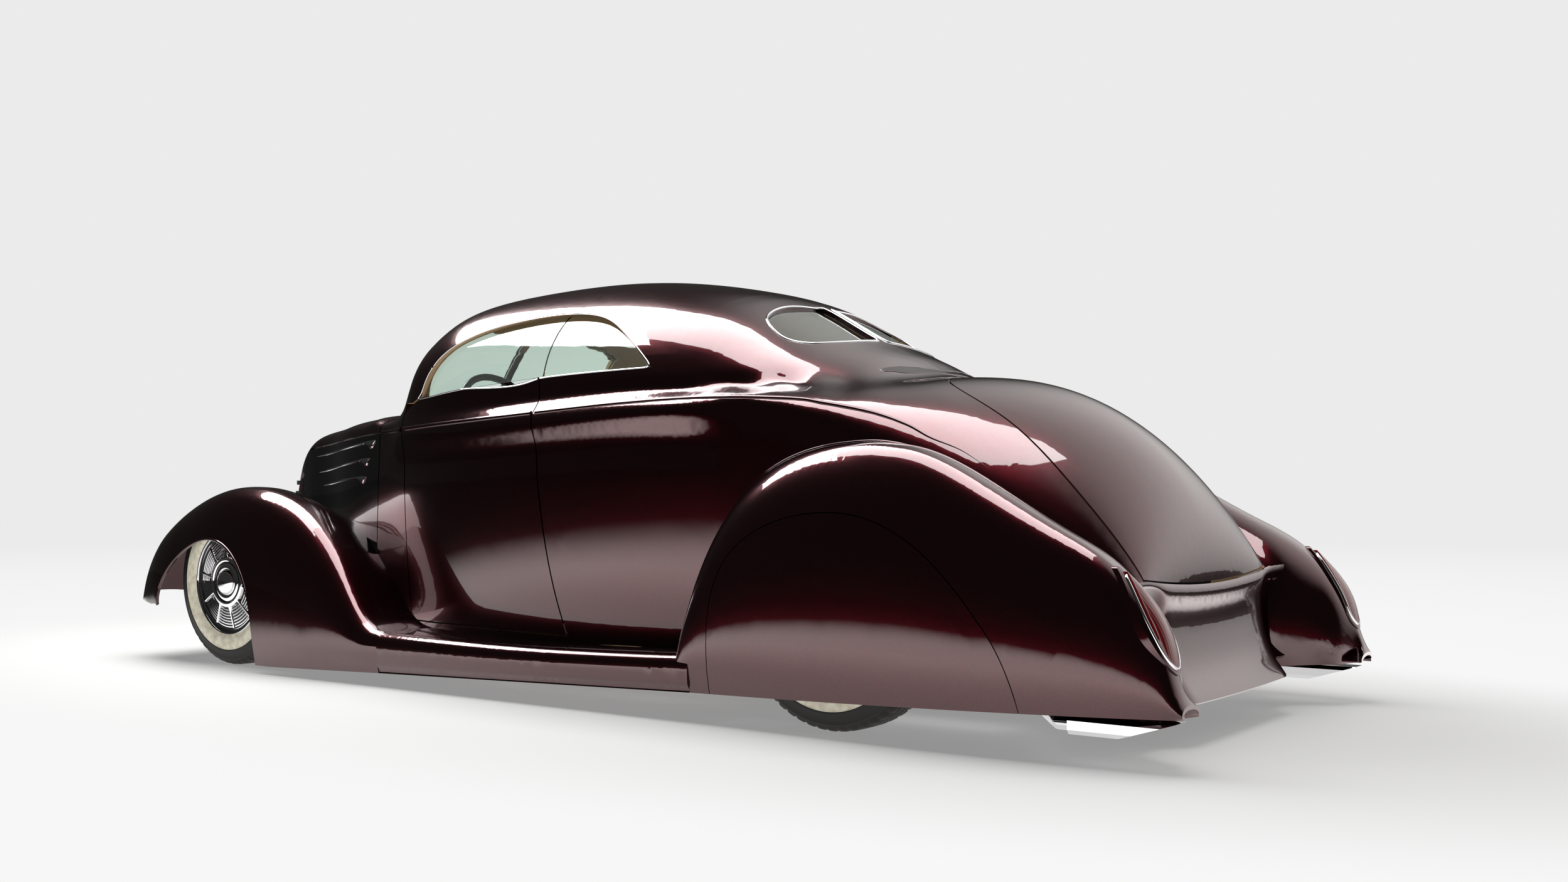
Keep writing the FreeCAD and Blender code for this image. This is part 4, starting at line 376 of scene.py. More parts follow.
def stage_floor():
    """Pale floor that keeps the car's shadow near it and runs evenly into the background."""
    mesh = bpy.data.meshes.new("studio_floor")
    far = FLOOR_REACH
    mesh.from_pydata([(-far, -far, 0), (far, -far, 0), (far, far, 0), (-far, far, 0)], [], [(0, 1, 2, 3)])
    floor = bpy.data.objects.new("studio_floor", mesh)
    bpy.context.collection.objects.link(floor)
    material, tree, shader = new_material("studio_floor")
    feed(tree, shader, {"Base Color": colour("#b6b6b5"), "Roughness": 0.6, "Specular IOR Level": 0.2})
    place = add_node(tree, "ShaderNodeTexCoord").outputs["Object"]
    squeezed = add_node(tree, "ShaderNodeMapping", {"Vector": place, "Scale": (0.5, 1.0, 1.0)})
    near = add_node(tree, "ShaderNodeVectorMath", {0: squeezed.outputs["Vector"]}, operation="LENGTH")
    beyond = {"Value": near.outputs["Value"], "From Min": SHADOW_FROM, "From Max": SHADOW_TO,
              "To Min": SHADOW_GLOW, "To Max": 1.0}
    beyond_shadow = add_node(tree, "ShaderNodeMapRange", beyond, interpolation_type="SMOOTHSTEP")
    away = add_node(tree, "ShaderNodeVectorMath", {0: place}, operation="LENGTH")
    paling = add_node(tree, "ShaderNodeMapRange", {"Value": away.outputs["Value"], "From Min": PALE_FROM,
                                                   "From Max": PALE_TO, "To Min": 0.0, "To Max": 1.0})
    pale_tint = add_node(tree, "ShaderNodeValToRGB", {"Fac": paling.outputs["Result"]},
                         [(0.0, colour("#f7f7f7")), (1.0, colour(BACKDROP))])
    shifted = add_node(tree, "ShaderNodeMapping", {"Vector": place, "Location": GLOW_CENTRE_SHIFT})
    reach = add_node(tree, "ShaderNodeVectorMath", {0: shifted.outputs["Vector"]}, operation="LENGTH")
    falling = {"Value": reach.outputs["Value"], "From Min": GLOW_FROM, "From Max": GLOW_TO,
               "To Min": GLOW_BRIGHT, "To Max": GLOW_DARK}
    fall = add_node(tree, "ShaderNodeMapRange", falling, interpolation_type="SMOOTHSTEP")
    rays = add_node(tree, "ShaderNodeLightPath")
    pale = add_node(tree, "ShaderNodeEmission", {"Color": pale_tint.outputs["Color"], "Strength": 1.0})
    dim = add_node(tree, "ShaderNodeEmission", {"Color": colour("#f4f0ee"),
                                                "Strength": fall.outputs["Result"]})
    seen = add_node(tree, "ShaderNodeMixShader", {0: rays.outputs["Is Camera Ray"], 1: dim.outputs[0],
                                                  2: pale.outputs[0]})
    ground = add_node(tree, "ShaderNodeMixShader", {0: beyond_shadow.outputs["Result"],
                                                    1: shader.outputs[0], 2: seen.outputs[0]})
    feed(tree, tree.nodes["Material Output"], {"Surface": ground.outputs[0]})
    floor.data.materials.append(material)


stage_floor()
print("floor reaches", FLOOR_REACH, "m each way")

# %% [markdown]
# ## Room
# Polished paint shows the room round it. A picture of a room could give that, but a plain glow
# from one upper side is enough here. The camera and the glass see the plain background instead.

# %% Room
LIT_SIDE = (-0.35, -0.70, 0.62)
LIT_FROM, LIT_TO = 0.58, 1.0
ROOM_DARK, ROOM_BRIGHT = 0.03, 1.35
ROOM_TINT = (1.0, 0.97, 0.95, 1.0)
world = bpy.data.worlds.new("studio")
bpy.context.scene.world = world
world.use_nodes = True
sky = world.node_tree
for node in list(sky.nodes):
    sky.nodes.remove(node)
rays = add_node(sky, "ShaderNodeLightPath")
direction = add_node(sky, "ShaderNodeTexCoord")
facing = add_node(sky, "ShaderNodeVectorMath", {0: direction.outputs["Generated"], 1: LIT_SIDE},
                  operation="DOT_PRODUCT")
lit = {"Value": facing.outputs["Value"], "From Min": LIT_FROM, "From Max": LIT_TO,
       "To Min": ROOM_DARK, "To Max": ROOM_BRIGHT}
glow = add_node(sky, "ShaderNodeMapRange", lit, interpolation_type="SMOOTHSTEP")
room = add_node(sky, "ShaderNodeBackground", {"Color": ROOM_TINT, "Strength": glow.outputs["Result"]})
backdrop = add_node(sky, "ShaderNodeBackground", {"Color": colour(BACKDROP), "Strength": 1.0})
straight = add_node(sky, "ShaderNodeMath", {0: rays.outputs["Is Camera Ray"],
                                            1: rays.outputs["Is Transmission Ray"]}, operation="MAXIMUM")
surroundings = add_node(sky, "ShaderNodeMixShader", {0: straight.outputs["Value"], 1: room.outputs[0],
                                                     2: backdrop.outputs[0]})
add_node(sky, "ShaderNodeOutputWorld", {"Surface": surroundings.outputs[0]})
print("world nodes:", len(sky.nodes))

# %% Lights
LAMP_HEIGHT = 4.2


def soft_box(name, x, y, length, width, watts):
    """A bright panel that faces straight down from under the ceiling."""
    light = bpy.data.lights.new(name, "AREA")
    light.shape = "RECTANGLE"
    light.size, light.size_y = length, width
    light.energy = watts
    lamp = bpy.data.objects.new(name, light)
    lamp.location = (x, y, LAMP_HEIGHT)
    lamp.rotation_euler = Vector((0, 0, -1)).to_track_quat("-Z", "Y").to_euler()
    bpy.context.collection.objects.link(lamp)


soft_box("front_overhead_box", 3.3, 0.45, 3.6, 2.7, 380)
soft_box("rear_overhead_box", -0.6, 0.25, 4.2, 2.2, 235)
print("lamps:", [light.name for light in bpy.data.lights])

# %% [markdown]
# ## Building small pieces
# Every small piece is a mesh made from points. Round things are an outline turned about an axle,
# long things are a section carried along a path, and anything that lies on the body finds its
# place by shooting a ray at the solid panels, so that it follows their real shape.

# %% Mesh helpers
def add_piece(name, points, faces, materials, body, bands=None, sharp=35):
    """Smooth mesh piece that rides on a body of the frame."""
    mesh = bpy.data.meshes.new(name)
    mesh.from_pydata([tuple(p) for p in points], [], faces)
    for surface in materials:
        mesh.materials.append(surface)
    for number, polygon in enumerate(mesh.polygons):
        polygon.use_smooth = True
        if bands:
            polygon.material_index = bands[number]
    builder = bmesh.new()
    builder.from_mesh(mesh)
    bmesh.ops.recalc_face_normals(builder, faces=builder.faces)
    builder.to_mesh(mesh)
    builder.free()
    mesh.set_sharp_from_angle(angle=math.radians(sharp))
    piece = bpy.data.objects.new(name, mesh)
    bpy.context.collection.objects.link(piece)
    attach(piece, body)
    return piece


def mirror_points(points):
    return [Vector((p[0], -p[1], p[2])) for p in points]


def loop_faces(rows, columns, close_rows=False, close_columns=True, first=0):
    """Quads between rows of points laid one after another."""
    faces = []
    for i in range(rows if close_rows else rows - 1):
        for k in range(columns if close_columns else columns - 1):
            a = first + i * columns + k
            b = first + i * columns + (k + 1) % columns
            c = first + ((i + 1) % rows) * columns + (k + 1) % columns
            d = first + ((i + 1) % rows) * columns + k
            faces.append((a, b, c, d))
    return faces


def turned(outline, steps, change=None):
    """A closed (radius, along) outline turned about the Y axis."""
    points = []
    for i in range(steps):
        angle = 2 * math.pi * i / steps
        for radius, along in outline:
            if change:
                radius = change(i, radius, along)
            points.append(Vector((radius * math.cos(angle), along, radius * math.sin(angle))))
    return points, loop_faces(steps, len(outline), close_rows=True)


def tangents(path, closed=False):
    result = []
    for i in range(len(path)):
        before = path[i - 1] if closed or i else path[0]
        after = path[(i + 1) % len(path)] if closed or i < len(path) - 1 else path[-1]
        result.append((after - before).normalized())
    return result


def smoothed(values, rounds, closed=False):
    """Evens out a list of numbers or vectors, its ends held when it is open."""
    values = list(values)
    for step in range(rounds):
        new = []
        for i in range(len(values)):
            if not closed and i in (0, len(values) - 1):
                new.append(values[i])
            else:
                new.append((values[i - 1] + values[i] * 2 + values[(i + 1) % len(values)]) / 4)
        values = new
    return values


def strip(path, normals, section, closed=False):
    """Carries a section along a path. section(i) gives (across, up) pairs at point i."""
    points = []
    along = tangents(path, closed)
    width = 0
    for i, place in enumerate(path):
        across = along[i].cross(normals[i]).normalized()
        up = across.cross(along[i]).normalized()
        pairs = section(i)
        width = len(pairs)
        for side, rise in pairs:
            points.append(place + across * side + up * rise)
    faces = loop_faces(len(path), width, close_rows=closed)
    if not closed:
        faces.append(tuple(range(width)))
        faces.append(tuple(range((len(path) - 1) * width, len(path) * width)))
    return points, faces


def half_round(width, height, sink=2 * MM, sides=8):
    """Section of a bead: a half ellipse above the skin, with its foot sunk into it."""
    pairs = [(width / 2 * math.cos(math.pi * k / sides), height * math.sin(math.pi * k / sides))
             for k in range(sides + 1)]
    return pairs + [(-width / 2, -sink), (width / 2, -sink)]


def round_section(radius, sides=12):
    return [(radius * math.cos(2 * math.pi * k / sides), radius * math.sin(2 * math.pi * k / sides))
            for k in range(sides)]


def curve_through(points, step):
    """Evenly spaced points on a smooth curve through a few hand-set ones."""
    points = [Vector(p) for p in points]
    ends = [points[0] * 2 - points[1]] + points + [points[-1] * 2 - points[-2]]
    result = []
    for i in range(1, len(ends) - 2):
        a, b, c, d = ends[i - 1:i + 3]
        count = max(1, round((c - b).length / step))
        for k in range(count):
            t = k / count
            result.append(0.5 * (2 * b + (c - a) * t + (2 * a - 5 * b + 4 * c - d) * t**2
                                 + (3 * b - a - 3 * c + d) * t**3))
    return result + [points[-1]]


# %% [markdown]
# ## Finding the skin
# Trim follows the sheet metal closely. Its points could be typed in, but they would be off
# wherever a panel is curved. So a ray from outside finds the panel, its slope and the part that
# it belongs to, and a piece that crosses a shut line is split there.

# %% Finding the skin
class Skin:
    """The outer faces of some solid parts, which a ray can be shot at."""

    def __init__(self, labels):
        points, faces, self.owners = [], [], []
        for label in labels:
            mesh = nodes[label].data
            first = len(points)
            points += [vertex.co.copy() for vertex in mesh.vertices]
            for polygon in mesh.polygons:
                faces.append([first + index for index in polygon.vertices])
                self.owners.append(label)
        self.tree = BVHTree.FromPolygons(points, faces)

    def hit(self, start, direction):
        place, normal, face, distance = self.tree.ray_cast(Vector(start), Vector(direction))
        if place is None:
            return None, None, None
        return place, normal, self.owners[face]


def body_of_label(label):
    for name in ("door_left", "door_right", "deck_lid", "hood_top"):
        if label in (name, name.replace("door_", "door_glass_")):
            return name
    return "car"


BODY_PANELS = ["cowl", "door_left", "quarter_left", "roof", "hood_side_left", "hood_top", "nose",
               "deck_lid"]
side_skin = Skin(BODY_PANELS)
TO_CAR = (0, -1, 0)
BESIDE_CAR = 2


def laid_on_side(route, step=0.012):
    """Points, normals and owners of a (x, z) route laid on the car's left side."""
    places, normals, owners = [], [], []
    for spot in curve_through([(x, 0, z) for x, z in route], step):
        place, normal, owner = side_skin.hit((spot.x, BESIDE_CAR, spot.z), TO_CAR)
        if place is not None:
            places.append(place)
            normals.append(normal)
            owners.append(body_of_label(owner))
    return places, smoothed(normals, 6), owners


def runs(owners):
    """Splits a path where the panel under it changes body."""
    start = 0
    for i in range(1, len(owners) + 1):
        if i == len(owners) or owners[i] != owners[start]:
            if i - start > 2:
                yield start, i, owners[start]
            start = i


def both_sides(name, points, faces, materials, body, bands=None, sharp=35):
    """Adds a piece of the left side and its mirror image on the right."""
    add_piece(name + "_left", points, faces, materials, body, bands, sharp)
    other = body.replace("_left", "_right")
    add_piece(name + "_right", mirror_points(points), faces, materials, other, bands, sharp)


# %% [markdown]
# ## Tyre
# A tyre is moulded rubber, here with a wide cream band on its outer side. A plain ring would look
# like a toy's, because light shows every groove. So its outline has the band's raised edges and the
# tread, and is turned about the axle, and the shoulder is cut into blocks.

# %% Tyre
TYRE_BLACK, TYRE_WHITE, TYRE_TREAD = 0, 1, 2
outer_side = [(0.192, 0.0720, TYRE_BLACK), (0.2070, 0.0768, TYRE_WHITE), (0.2150, 0.0815, TYRE_WHITE),
              (0.2280, 0.0846, TYRE_WHITE), (0.2420, 0.0858, TYRE_WHITE), (0.2550, 0.0852, TYRE_WHITE),
              (0.2645, 0.0836, TYRE_BLACK), (0.2665, 0.0846, TYRE_BLACK), (0.2705, 0.0842, TYRE_BLACK),
              (0.2725, 0.0824, TYRE_BLACK), (0.2880, 0.0790, TYRE_BLACK), (0.2985, 0.0748, TYRE_BLACK),
              (0.3010, 0.0752, TYRE_BLACK), (0.3040, 0.0742, TYRE_BLACK), (0.3060, 0.0718, TYRE_TREAD),
              (0.3140, 0.0668, TYRE_TREAD), (0.3200, 0.0600, TYRE_TREAD), (0.3235, 0.0520, TYRE_TREAD),
              (0.3245, 0.0440, TYRE_TREAD), (0.3245, 0.0340, TYRE_TREAD), (0.3175, 0.0330, TYRE_TREAD),
              (0.3175, 0.0290, TYRE_TREAD), (0.3248, 0.0280, TYRE_TREAD), (0.3250, 0.0120, TYRE_TREAD),
              (0.3178, 0.0110, TYRE_TREAD), (0.3178, 0.0070, TYRE_TREAD), (0.3250, 0.0060, TYRE_TREAD)]
inner_side = [(radius, -along, TYRE_TREAD if band == TYRE_TREAD else TYRE_BLACK)
              for radius, along, band in reversed(outer_side)]
carcass = [(0.205, -0.060, TYRE_BLACK), (0.250, -0.070, TYRE_BLACK), (0.295, -0.060, TYRE_BLACK),
           (0.309, 0.0, TYRE_BLACK), (0.295, 0.060, TYRE_BLACK), (0.250, 0.070, TYRE_BLACK),
           (0.205, 0.060, TYRE_BLACK)]
tyre_outline = outer_side + inner_side + carcass
TYRE_STEPS = 216


BLOCK_STEPS, BLOCK_DEPTH = 4, 6 * MM
SHOULDER_FROM, SHOULDER_TO, SHOULDER_RADIUS = 0.043, 0.069, 0.31


def shoulder_cut(step, radius, along):
    """Every fourth step is a groove across the shoulder."""
    on_shoulder = SHOULDER_FROM < abs(along) < SHOULDER_TO and radius > SHOULDER_RADIUS
    if step % BLOCK_STEPS == 0 and on_shoulder:
        return radius - BLOCK_DEPTH
    return radius


tyre_points, tyre_faces = turned([(radius, along) for radius, along, band in tyre_outline], TYRE_STEPS,
                                 shoulder_cut)
tyre_bands = [band for step in range(TYRE_STEPS) for radius, along, band in tyre_outline]
print("tyre points:", len(tyre_points))

# %% [markdown]
# ## Wheel cover
# The cover is pressed steel: a domed cap, a dished field with fine ribs, and ten fins. The round
# forms are one outline turned about the axle. The fins aren't round, so each is a row of sections
# laid on the field.

# %% Wheel cover
# Faces marked PAINTED_SHADE (the grooves, the field between the ribs and the back of the cover) get satin
# black: painted shade in the chrome's recesses.
BRIGHT, PAINTED_SHADE = 0, 1
FIELD_OUT, FIELD_IN = 0.180, 0.102
RIBS = 7


def field_height(radius):
    return 0.0760 - 0.0085 * (radius - FIELD_IN) / (FIELD_OUT - FIELD_IN)


cover_outline = [(0.2060, 0.0690, BRIGHT), (0.2072, 0.0775, BRIGHT), (0.2045, 0.0802, BRIGHT),
                 (0.2000, 0.0795, BRIGHT), (0.1975, 0.0750, PAINTED_SHADE), (0.1965, 0.0690, PAINTED_SHADE),
                 (0.1900, 0.0685, BRIGHT), (0.1890, 0.0735, BRIGHT), (0.1865, 0.0755, BRIGHT),
                 (0.1825, 0.0745, PAINTED_SHADE)]
pitch = (FIELD_OUT - FIELD_IN) / RIBS
for rib in range(RIBS):
    outer = FIELD_OUT - rib * pitch
    level = field_height(outer)
    cover_outline += [(outer, level, BRIGHT), (outer - 0.12 * pitch, level + 2.4 * MM, BRIGHT),
                      (outer - 0.48 * pitch, level + 2.6 * MM, BRIGHT), (outer - 0.6 * pitch, level, PAINTED_SHADE)]
cover_outline += [(0.1010, 0.0762, BRIGHT), (0.0975, 0.0850, BRIGHT), (0.0920, 0.0882, BRIGHT),
                  (0.0850, 0.0884, BRIGHT), (0.0805, 0.0850, PAINTED_SHADE), (0.0795, 0.0800, PAINTED_SHADE),
                  (0.0752, 0.0800, BRIGHT), (0.0745, 0.0846, BRIGHT), (0.0700, 0.0875, BRIGHT),
                  (0.0610, 0.0888, BRIGHT), (0.0530, 0.0880, BRIGHT), (0.0505, 0.0870, BRIGHT),
                  (0.0490, 0.0905, BRIGHT), (0.0450, 0.0965, BRIGHT), (0.0380, 0.1022, BRIGHT),
                  (0.0290, 0.1066, BRIGHT), (0.0180, 0.1095, BRIGHT), (0.0080, 0.1106, BRIGHT),
                  (0.0002, 0.1108, BRIGHT), (0.0002, 0.0640, PAINTED_SHADE), (0.1500, 0.0620, PAINTED_SHADE),
                  (0.1780, 0.0560, PAINTED_SHADE), (0.1780, -0.0560, PAINTED_SHADE), (0.1900, -0.0690, PAINTED_SHADE),
                  (0.2060, -0.0770, PAINTED_SHADE), (0.2020, -0.0640, PAINTED_SHADE), (0.1880, -0.0500, PAINTED_SHADE),
                  (0.1880, 0.0500, PAINTED_SHADE)]
COVER_STEPS = 120
cover_points, cover_faces = turned([(radius, along) for radius, along, band in cover_outline], COVER_STEPS)
cover_bands = [band for step in range(COVER_STEPS) for radius, along, band in cover_outline]

FINS = 10
FIN_IN, FIN_OUT = 0.097, 0.184
FIN_ROWS, FIN_COLUMNS = 16, 11
for fin in range(FINS):
    turn = 2 * math.pi * (fin + 0.25) / FINS
    first = len(cover_points)
    for i in range(FIN_ROWS):
        share = i / (FIN_ROWS - 1)
        radius = FIN_IN + (FIN_OUT - FIN_IN) * share
        root_flare = 11 * math.exp(-share / 0.10)
        tip_flare = 3.5 * math.exp(-(1 - share) / 0.08)
        half_width = (4.2 + 2.0 * share + root_flare + tip_flare) * MM
        crest = field_height(radius) + (8.5 - 3.0 * share) * MM
        for k in range(FIN_COLUMNS):
            across = 2 * k / (FIN_COLUMNS - 1) - 1
            up = crest - (crest - field_height(radius) + 1 * MM) * abs(across) ** 2.6
            side = across * half_width
            cover_points.append(Vector((radius * math.cos(turn) - side * math.sin(turn), up,
                                        radius * math.sin(turn) + side * math.cos(turn))))
    added = loop_faces(FIN_ROWS, FIN_COLUMNS, close_columns=False, first=first)
    cover_faces += added
    cover_bands += [BRIGHT] * len(added)
print("cover points:", len(cover_points), "with", FINS, "fins")

# %% [markdown]
# ## Fitting the wheels
# The four wheels are alike, so their points are made once and moved to each corner, turned round
# on the right side. Each piece rides on its own wheel and spins with it.

# %% Fit tyres and covers
for corner, axle_x, side in (("front_left", AXLE_X, 1), ("front_right", AXLE_X, -1),
                             ("rear_left", AXLE_X - WHEELBASE, 1), ("rear_right", AXLE_X - WHEELBASE, -1)):
    def placed(points):
        return [Vector((axle_x + p.x, side * (TRACK_HALF + p.y), WHEEL_CENTRE + p.z)) for p in points]

    tyre = add_piece("tyre_shape_" + corner, placed(tyre_points), tyre_faces,
                     [rubber, white_rubber, tread_rubber], "wheel_" + corner, tyre_bands, sharp=40)
    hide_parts("tyre_" + corner)
    # The satin black on the cover's grooves and back is painted shade.
    cover = add_piece("wheel_cover_" + corner, placed(cover_points), cover_faces, [chrome, frame_black],
                      "wheel_" + corner, cover_bands)
    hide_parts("wheel_" + corner)

# %% [markdown]
# ## Belt bead
# A bead pressed into the sheet runs from the cowl over the door and fades out beside the deck. As
# a strip laid on the panels it can be cut where the door is cut, so that each length moves with
# its own panel.

# %% Belt bead
belt_route = [(0.998, 0.903), (0.833, 0.909), (0.34, 0.932), (-0.02, 0.950), (-0.40, 0.969),
              (-0.715, 0.977), (-1.01, 0.966), (-1.115, 0.951), (-1.26, 0.921), (-1.365, 0.884),
              (-1.437, 0.846), (-1.52, 0.810), (-1.60, 0.759)]
places, normals, owners = laid_on_side(belt_route)
BELT_FADE = 40
BELT_WIDTH, BELT_HEIGHT = 16 * MM, 5.5 * MM
for number, (start, end, body) in enumerate(runs(owners)):
    def belt_section(i):
        left = len(places) - 1 - (start + i)
        share = min(1.0, left / BELT_FADE + 0.05)
        return half_round(BELT_WIDTH * share, BELT_HEIGHT * share)

    points, faces = strip(places[start:end], normals[start:end], belt_section)
    both_sides(f"belt_bead_{number}", points, faces, [paint], body)
print("belt bead points:", len(places))

# %% [markdown]
# ## Hood side flashes
# Three thin chrome strips run along the hood's side and end in a drop. A strip of one width would
# look like tape, so the width and the height swell and taper on the way.

# %% Hood side flashes
FLASH_WIDTH, FLASH_HEIGHT, FLASH_FOOT = 5 * MM, 5 * MM, 2 * MM
FLASH_SIDES = 8
FLARE_FROM, FLARE_DROP = 0.82, 24 * MM
flash_routes = [[(1.700, 0.822), (1.35, 0.850), (1.052, 0.876)],
                [(1.678, 0.756), (1.38, 0.784), (1.104, 0.808)],
                [(1.630, 0.703), (1.38, 0.723), (1.142, 0.737)]]
for number, route in enumerate(flash_routes):
    places, normals, owners = laid_on_side(route, step=0.006)
    count = len(places)

    def flash_section(i):
        share = i / (count - 1)
        width = FLASH_WIDTH * min(1.0, 0.15 + share * 6)
        drop = 0.0
        if share > FLARE_FROM:
            t = (share - FLARE_FROM) / (1 - FLARE_FROM)
            drop = FLARE_DROP * math.sin(math.pi * min(1.0, t) ** 1.6) ** 1.4
            width *= 1 - 0.75 * t**3
        height = FLASH_HEIGHT * min(1.0, 0.2 + share * 5) * (1 - 0.7 * max(0.0, share - 0.97) / 0.03)
        pairs = []
        for k in range(FLASH_SIDES + 1):
            t = k / FLASH_SIDES
            pairs.append((-width + (2 * width + drop) * t, height * math.sin(math.pi * t) ** 0.6))
        return pairs + [(width + drop, -FLASH_FOOT), (-width, -FLASH_FOOT)]

    points, faces = strip(places, normals, flash_section)
    both_sides(f"hood_flash_{number}", points, faces, [chrome], "car")
print("flashes on each side:", len(flash_routes))


# %% [markdown]
# ## Edges
# Arches, windows and lamps have rolled or trimmed edges. Their outlines could be typed in, but the
# solid parts hold them already: spokes are searched from a middle, and each is halved until it
# meets the edge. A bead is then carried along the points.

# %% Edges found on the solid parts
FENDERS = ["front_fender_left", "rear_fender_left", "running_boards"]
BESIDE_PANELS = ["rear_skirts", "door_glass_left", "quarter_glass", "tyre_front_left", "wheel_front_left"]
side_view = Skin(BODY_PANELS + FENDERS + BESIDE_PANELS)
SIDE = (Vector((1, 0, 0)), Vector((0, 0, 1)), Vector((0, -1, 0)))
FAR_OFF = 3
HALVINGS = 12
SMOOTH_BEND = 80
SLANTED = (Vector((1, 0, 0)), Vector((0, -1, 1)).normalized(), Vector((0, -1, -1)).normalized())


def edge(skin, view, centre, inside, far, angles=(0, 360), count=160, reach=4 * MM, steps=120):
    """Points, normals and owners just outside the edge of what counts as inside, on spokes."""
    across, up, sight = view
    first_angle, last_angle = angles

    def look(u, v):
        return skin.hit(across * u + up * v - sight * FAR_OFF, sight)

    places, normals, owners = [], [], []
    for i in range(count + 1):
        angle = math.radians(first_angle + (last_angle - first_angle) * i / count)
        du, dv = math.cos(angle), math.sin(angle)
        low, high = 0.0, None
        for step in range(1, steps + 1):
            radius = far * step / steps
            if not inside(look(centre[0] + du * radius, centre[1] + dv * radius)):
                high = radius
                break
            low = radius
        if high is None:
            continue
        for halving in range(HALVINGS):
            middle = (low + high) / 2
            if inside(look(centre[0] + du * middle, centre[1] + dv * middle)):
                low = middle
            else:
                high = middle
        outside = high + reach
        place, normal, owner = look(centre[0] + du * outside, centre[1] + dv * outside)
        if place is not None:
            places.append(place)
            normals.append(normal)
            owners.append(body_of_label(owner))
    return places, normals, owners


def evenly(places, normals, owners, step, closed=False):
    """The same path with evenly spaced points."""
    if closed:
        places, normals, owners = places + [places[0]], normals + [normals[0]], owners + [owners[0]]
    lengths = [0.0]
    for a, b in zip(places, places[1:]):
        lengths.append(lengths[-1] + (b - a).length)
    count = max(3, round(lengths[-1] / step))
    result = ([], [], [])
    k = 0
    for i in range(count if closed else count + 1):
        goal = lengths[-1] * i / count
        while k < len(lengths) - 2 and lengths[k + 1] < goal:
            k += 1
        gap = lengths[k + 1] - lengths[k]
        t = (goal - lengths[k]) / gap if gap > 0 else 0.0
        result[0].append(places[k].lerp(places[k + 1], t))
        result[1].append(normals[k].lerp(normals[k + 1], t).normalized())
        result[2].append(owners[k])
    return result


BEAD_STEP = 0.01


def add_bead(name, path, shape, surface=paint, closed=False, lift=0.0):
    """Bead laid along an edge, split where the panel under it moves by itself."""
    places, normals, owners = evenly(*path, BEAD_STEP, closed)
    places, normals = smoothed(places, 4, closed), smoothed(normals, 8, closed)
    places = [place + normal * lift for place, normal in zip(places, normals)]
    parts = list(runs(owners))
    if len(parts) == 1 and closed:
        points, faces = strip(places, normals, lambda i: shape, closed=True)
        both_sides(name, points, faces, [surface], owners[0], sharp=SMOOTH_BEND)
        return
    for number, (start, end, body) in enumerate(parts):
        points, faces = strip(places[start:end], normals[start:end], lambda i: shape)
        both_sides(f"{name}_{number}", points, faces, [surface], body, sharp=SMOOTH_BEND)


# %% [markdown]
# ## Fender beads
# A thin painted welt closes the joint between fender and body, a bright line edges the skirt, and
# the front arch has a rolled lip. Without them the panels would look cut from card.

# %% Fender beads
def on_fender(hit):
    return hit[2] in FENDERS + ["rear_skirts"]


def on_skirt(hit):
    return hit[2] == "rear_skirts"


def in_arch(hit):
    return hit[2] != "front_fender_left"


FENDER_BEAD = round_section(5.5 * MM)
rear_joint = edge(side_view, SLANTED, (-1.25, -0.45), on_fender, 1.2, (12, 142), reach=0)
add_bead("rear_fender_bead", rear_joint, FENDER_BEAD)
front_joint = edge(side_view, SLANTED, (1.60, -0.36), on_fender, 1.3, (62, 172), reach=0)
add_bead("front_fender_bead", front_joint, FENDER_BEAD)
skirt_edge = edge(side_view, SIDE, (AXLE_X - WHEELBASE, 0.25), on_skirt, 0.8, (-8, 188), reach=2 * MM)
add_bead("skirt_edge_line", skirt_edge, round_section(1.4 * MM), chrome)
arch_edge = edge(side_view, SIDE, (AXLE_X, 0.33), in_arch, 0.6, (-6, 186), reach=3 * MM)
add_bead("arch_lip", arch_edge, round_section(5 * MM), lift=-1 * MM)
print("joint points:", len(rear_joint[0]), len(front_joint[0]), "arch points:", len(arch_edge[0]))

# %% [markdown]
# ## Side windows
# One thin chrome strip frames the side windows. It goes round the whole opening, over door and
# quarter alike, and the bead function splits it where the door opens.

# %% Side windows
WINDOW_MIDDLE = (0.13, 1.135)
INSIDE_CABIN = 0.40


def in_window(hit):
    return hit[0] is None or hit[2] in ("door_glass_left", "quarter_glass") or hit[0].y < INSIDE_CABIN


window_edge = edge(side_view, SIDE, WINDOW_MIDDLE, in_window, 1.0, count=280, reach=5 * MM, steps=300)
add_bead("window_trim", window_edge, half_round(4.5 * MM, 2 * MM), chrome, closed=True)
print("window edge points:", len(window_edge[0]))

# %% [markdown]
# ## Rear windows
# The rear window has two panes, each in a bright bezel that is wider than the side trim. The edge
# is searched along the slope of the roof, because from straight behind it would be foreshortened.

# %% Rear windows
rear_view = Skin(["roof", "quarter_left", "quarter_right", "rear_windows"])
REAR = (Vector((0, 1, 0)), Vector((0.83, 0, 0.56)), Vector((0.56, 0, -0.83)))


def in_rear_window(hit):
    return hit[0] is None or hit[2] == "rear_windows"


rear_middle = (0.21, Vector((-0.775, 0, 1.22)).dot(REAR[1]))
rear_edge = edge(rear_view, REAR, rear_middle, in_rear_window, 0.5, count=200, reach=7 * MM, steps=200)
add_bead("rear_window_bezel", rear_edge, half_round(9 * MM, 3.5 * MM), chrome, closed=True)

# %% [markdown]
# ## Tail lamps
# Each tail lamp is a leaf-shaped red lens in a chrome strip. The solid lens lies flush with the
# fender, so a domed one is laid over it: rings of points between its middle and its edge, lifted
# most in the middle.

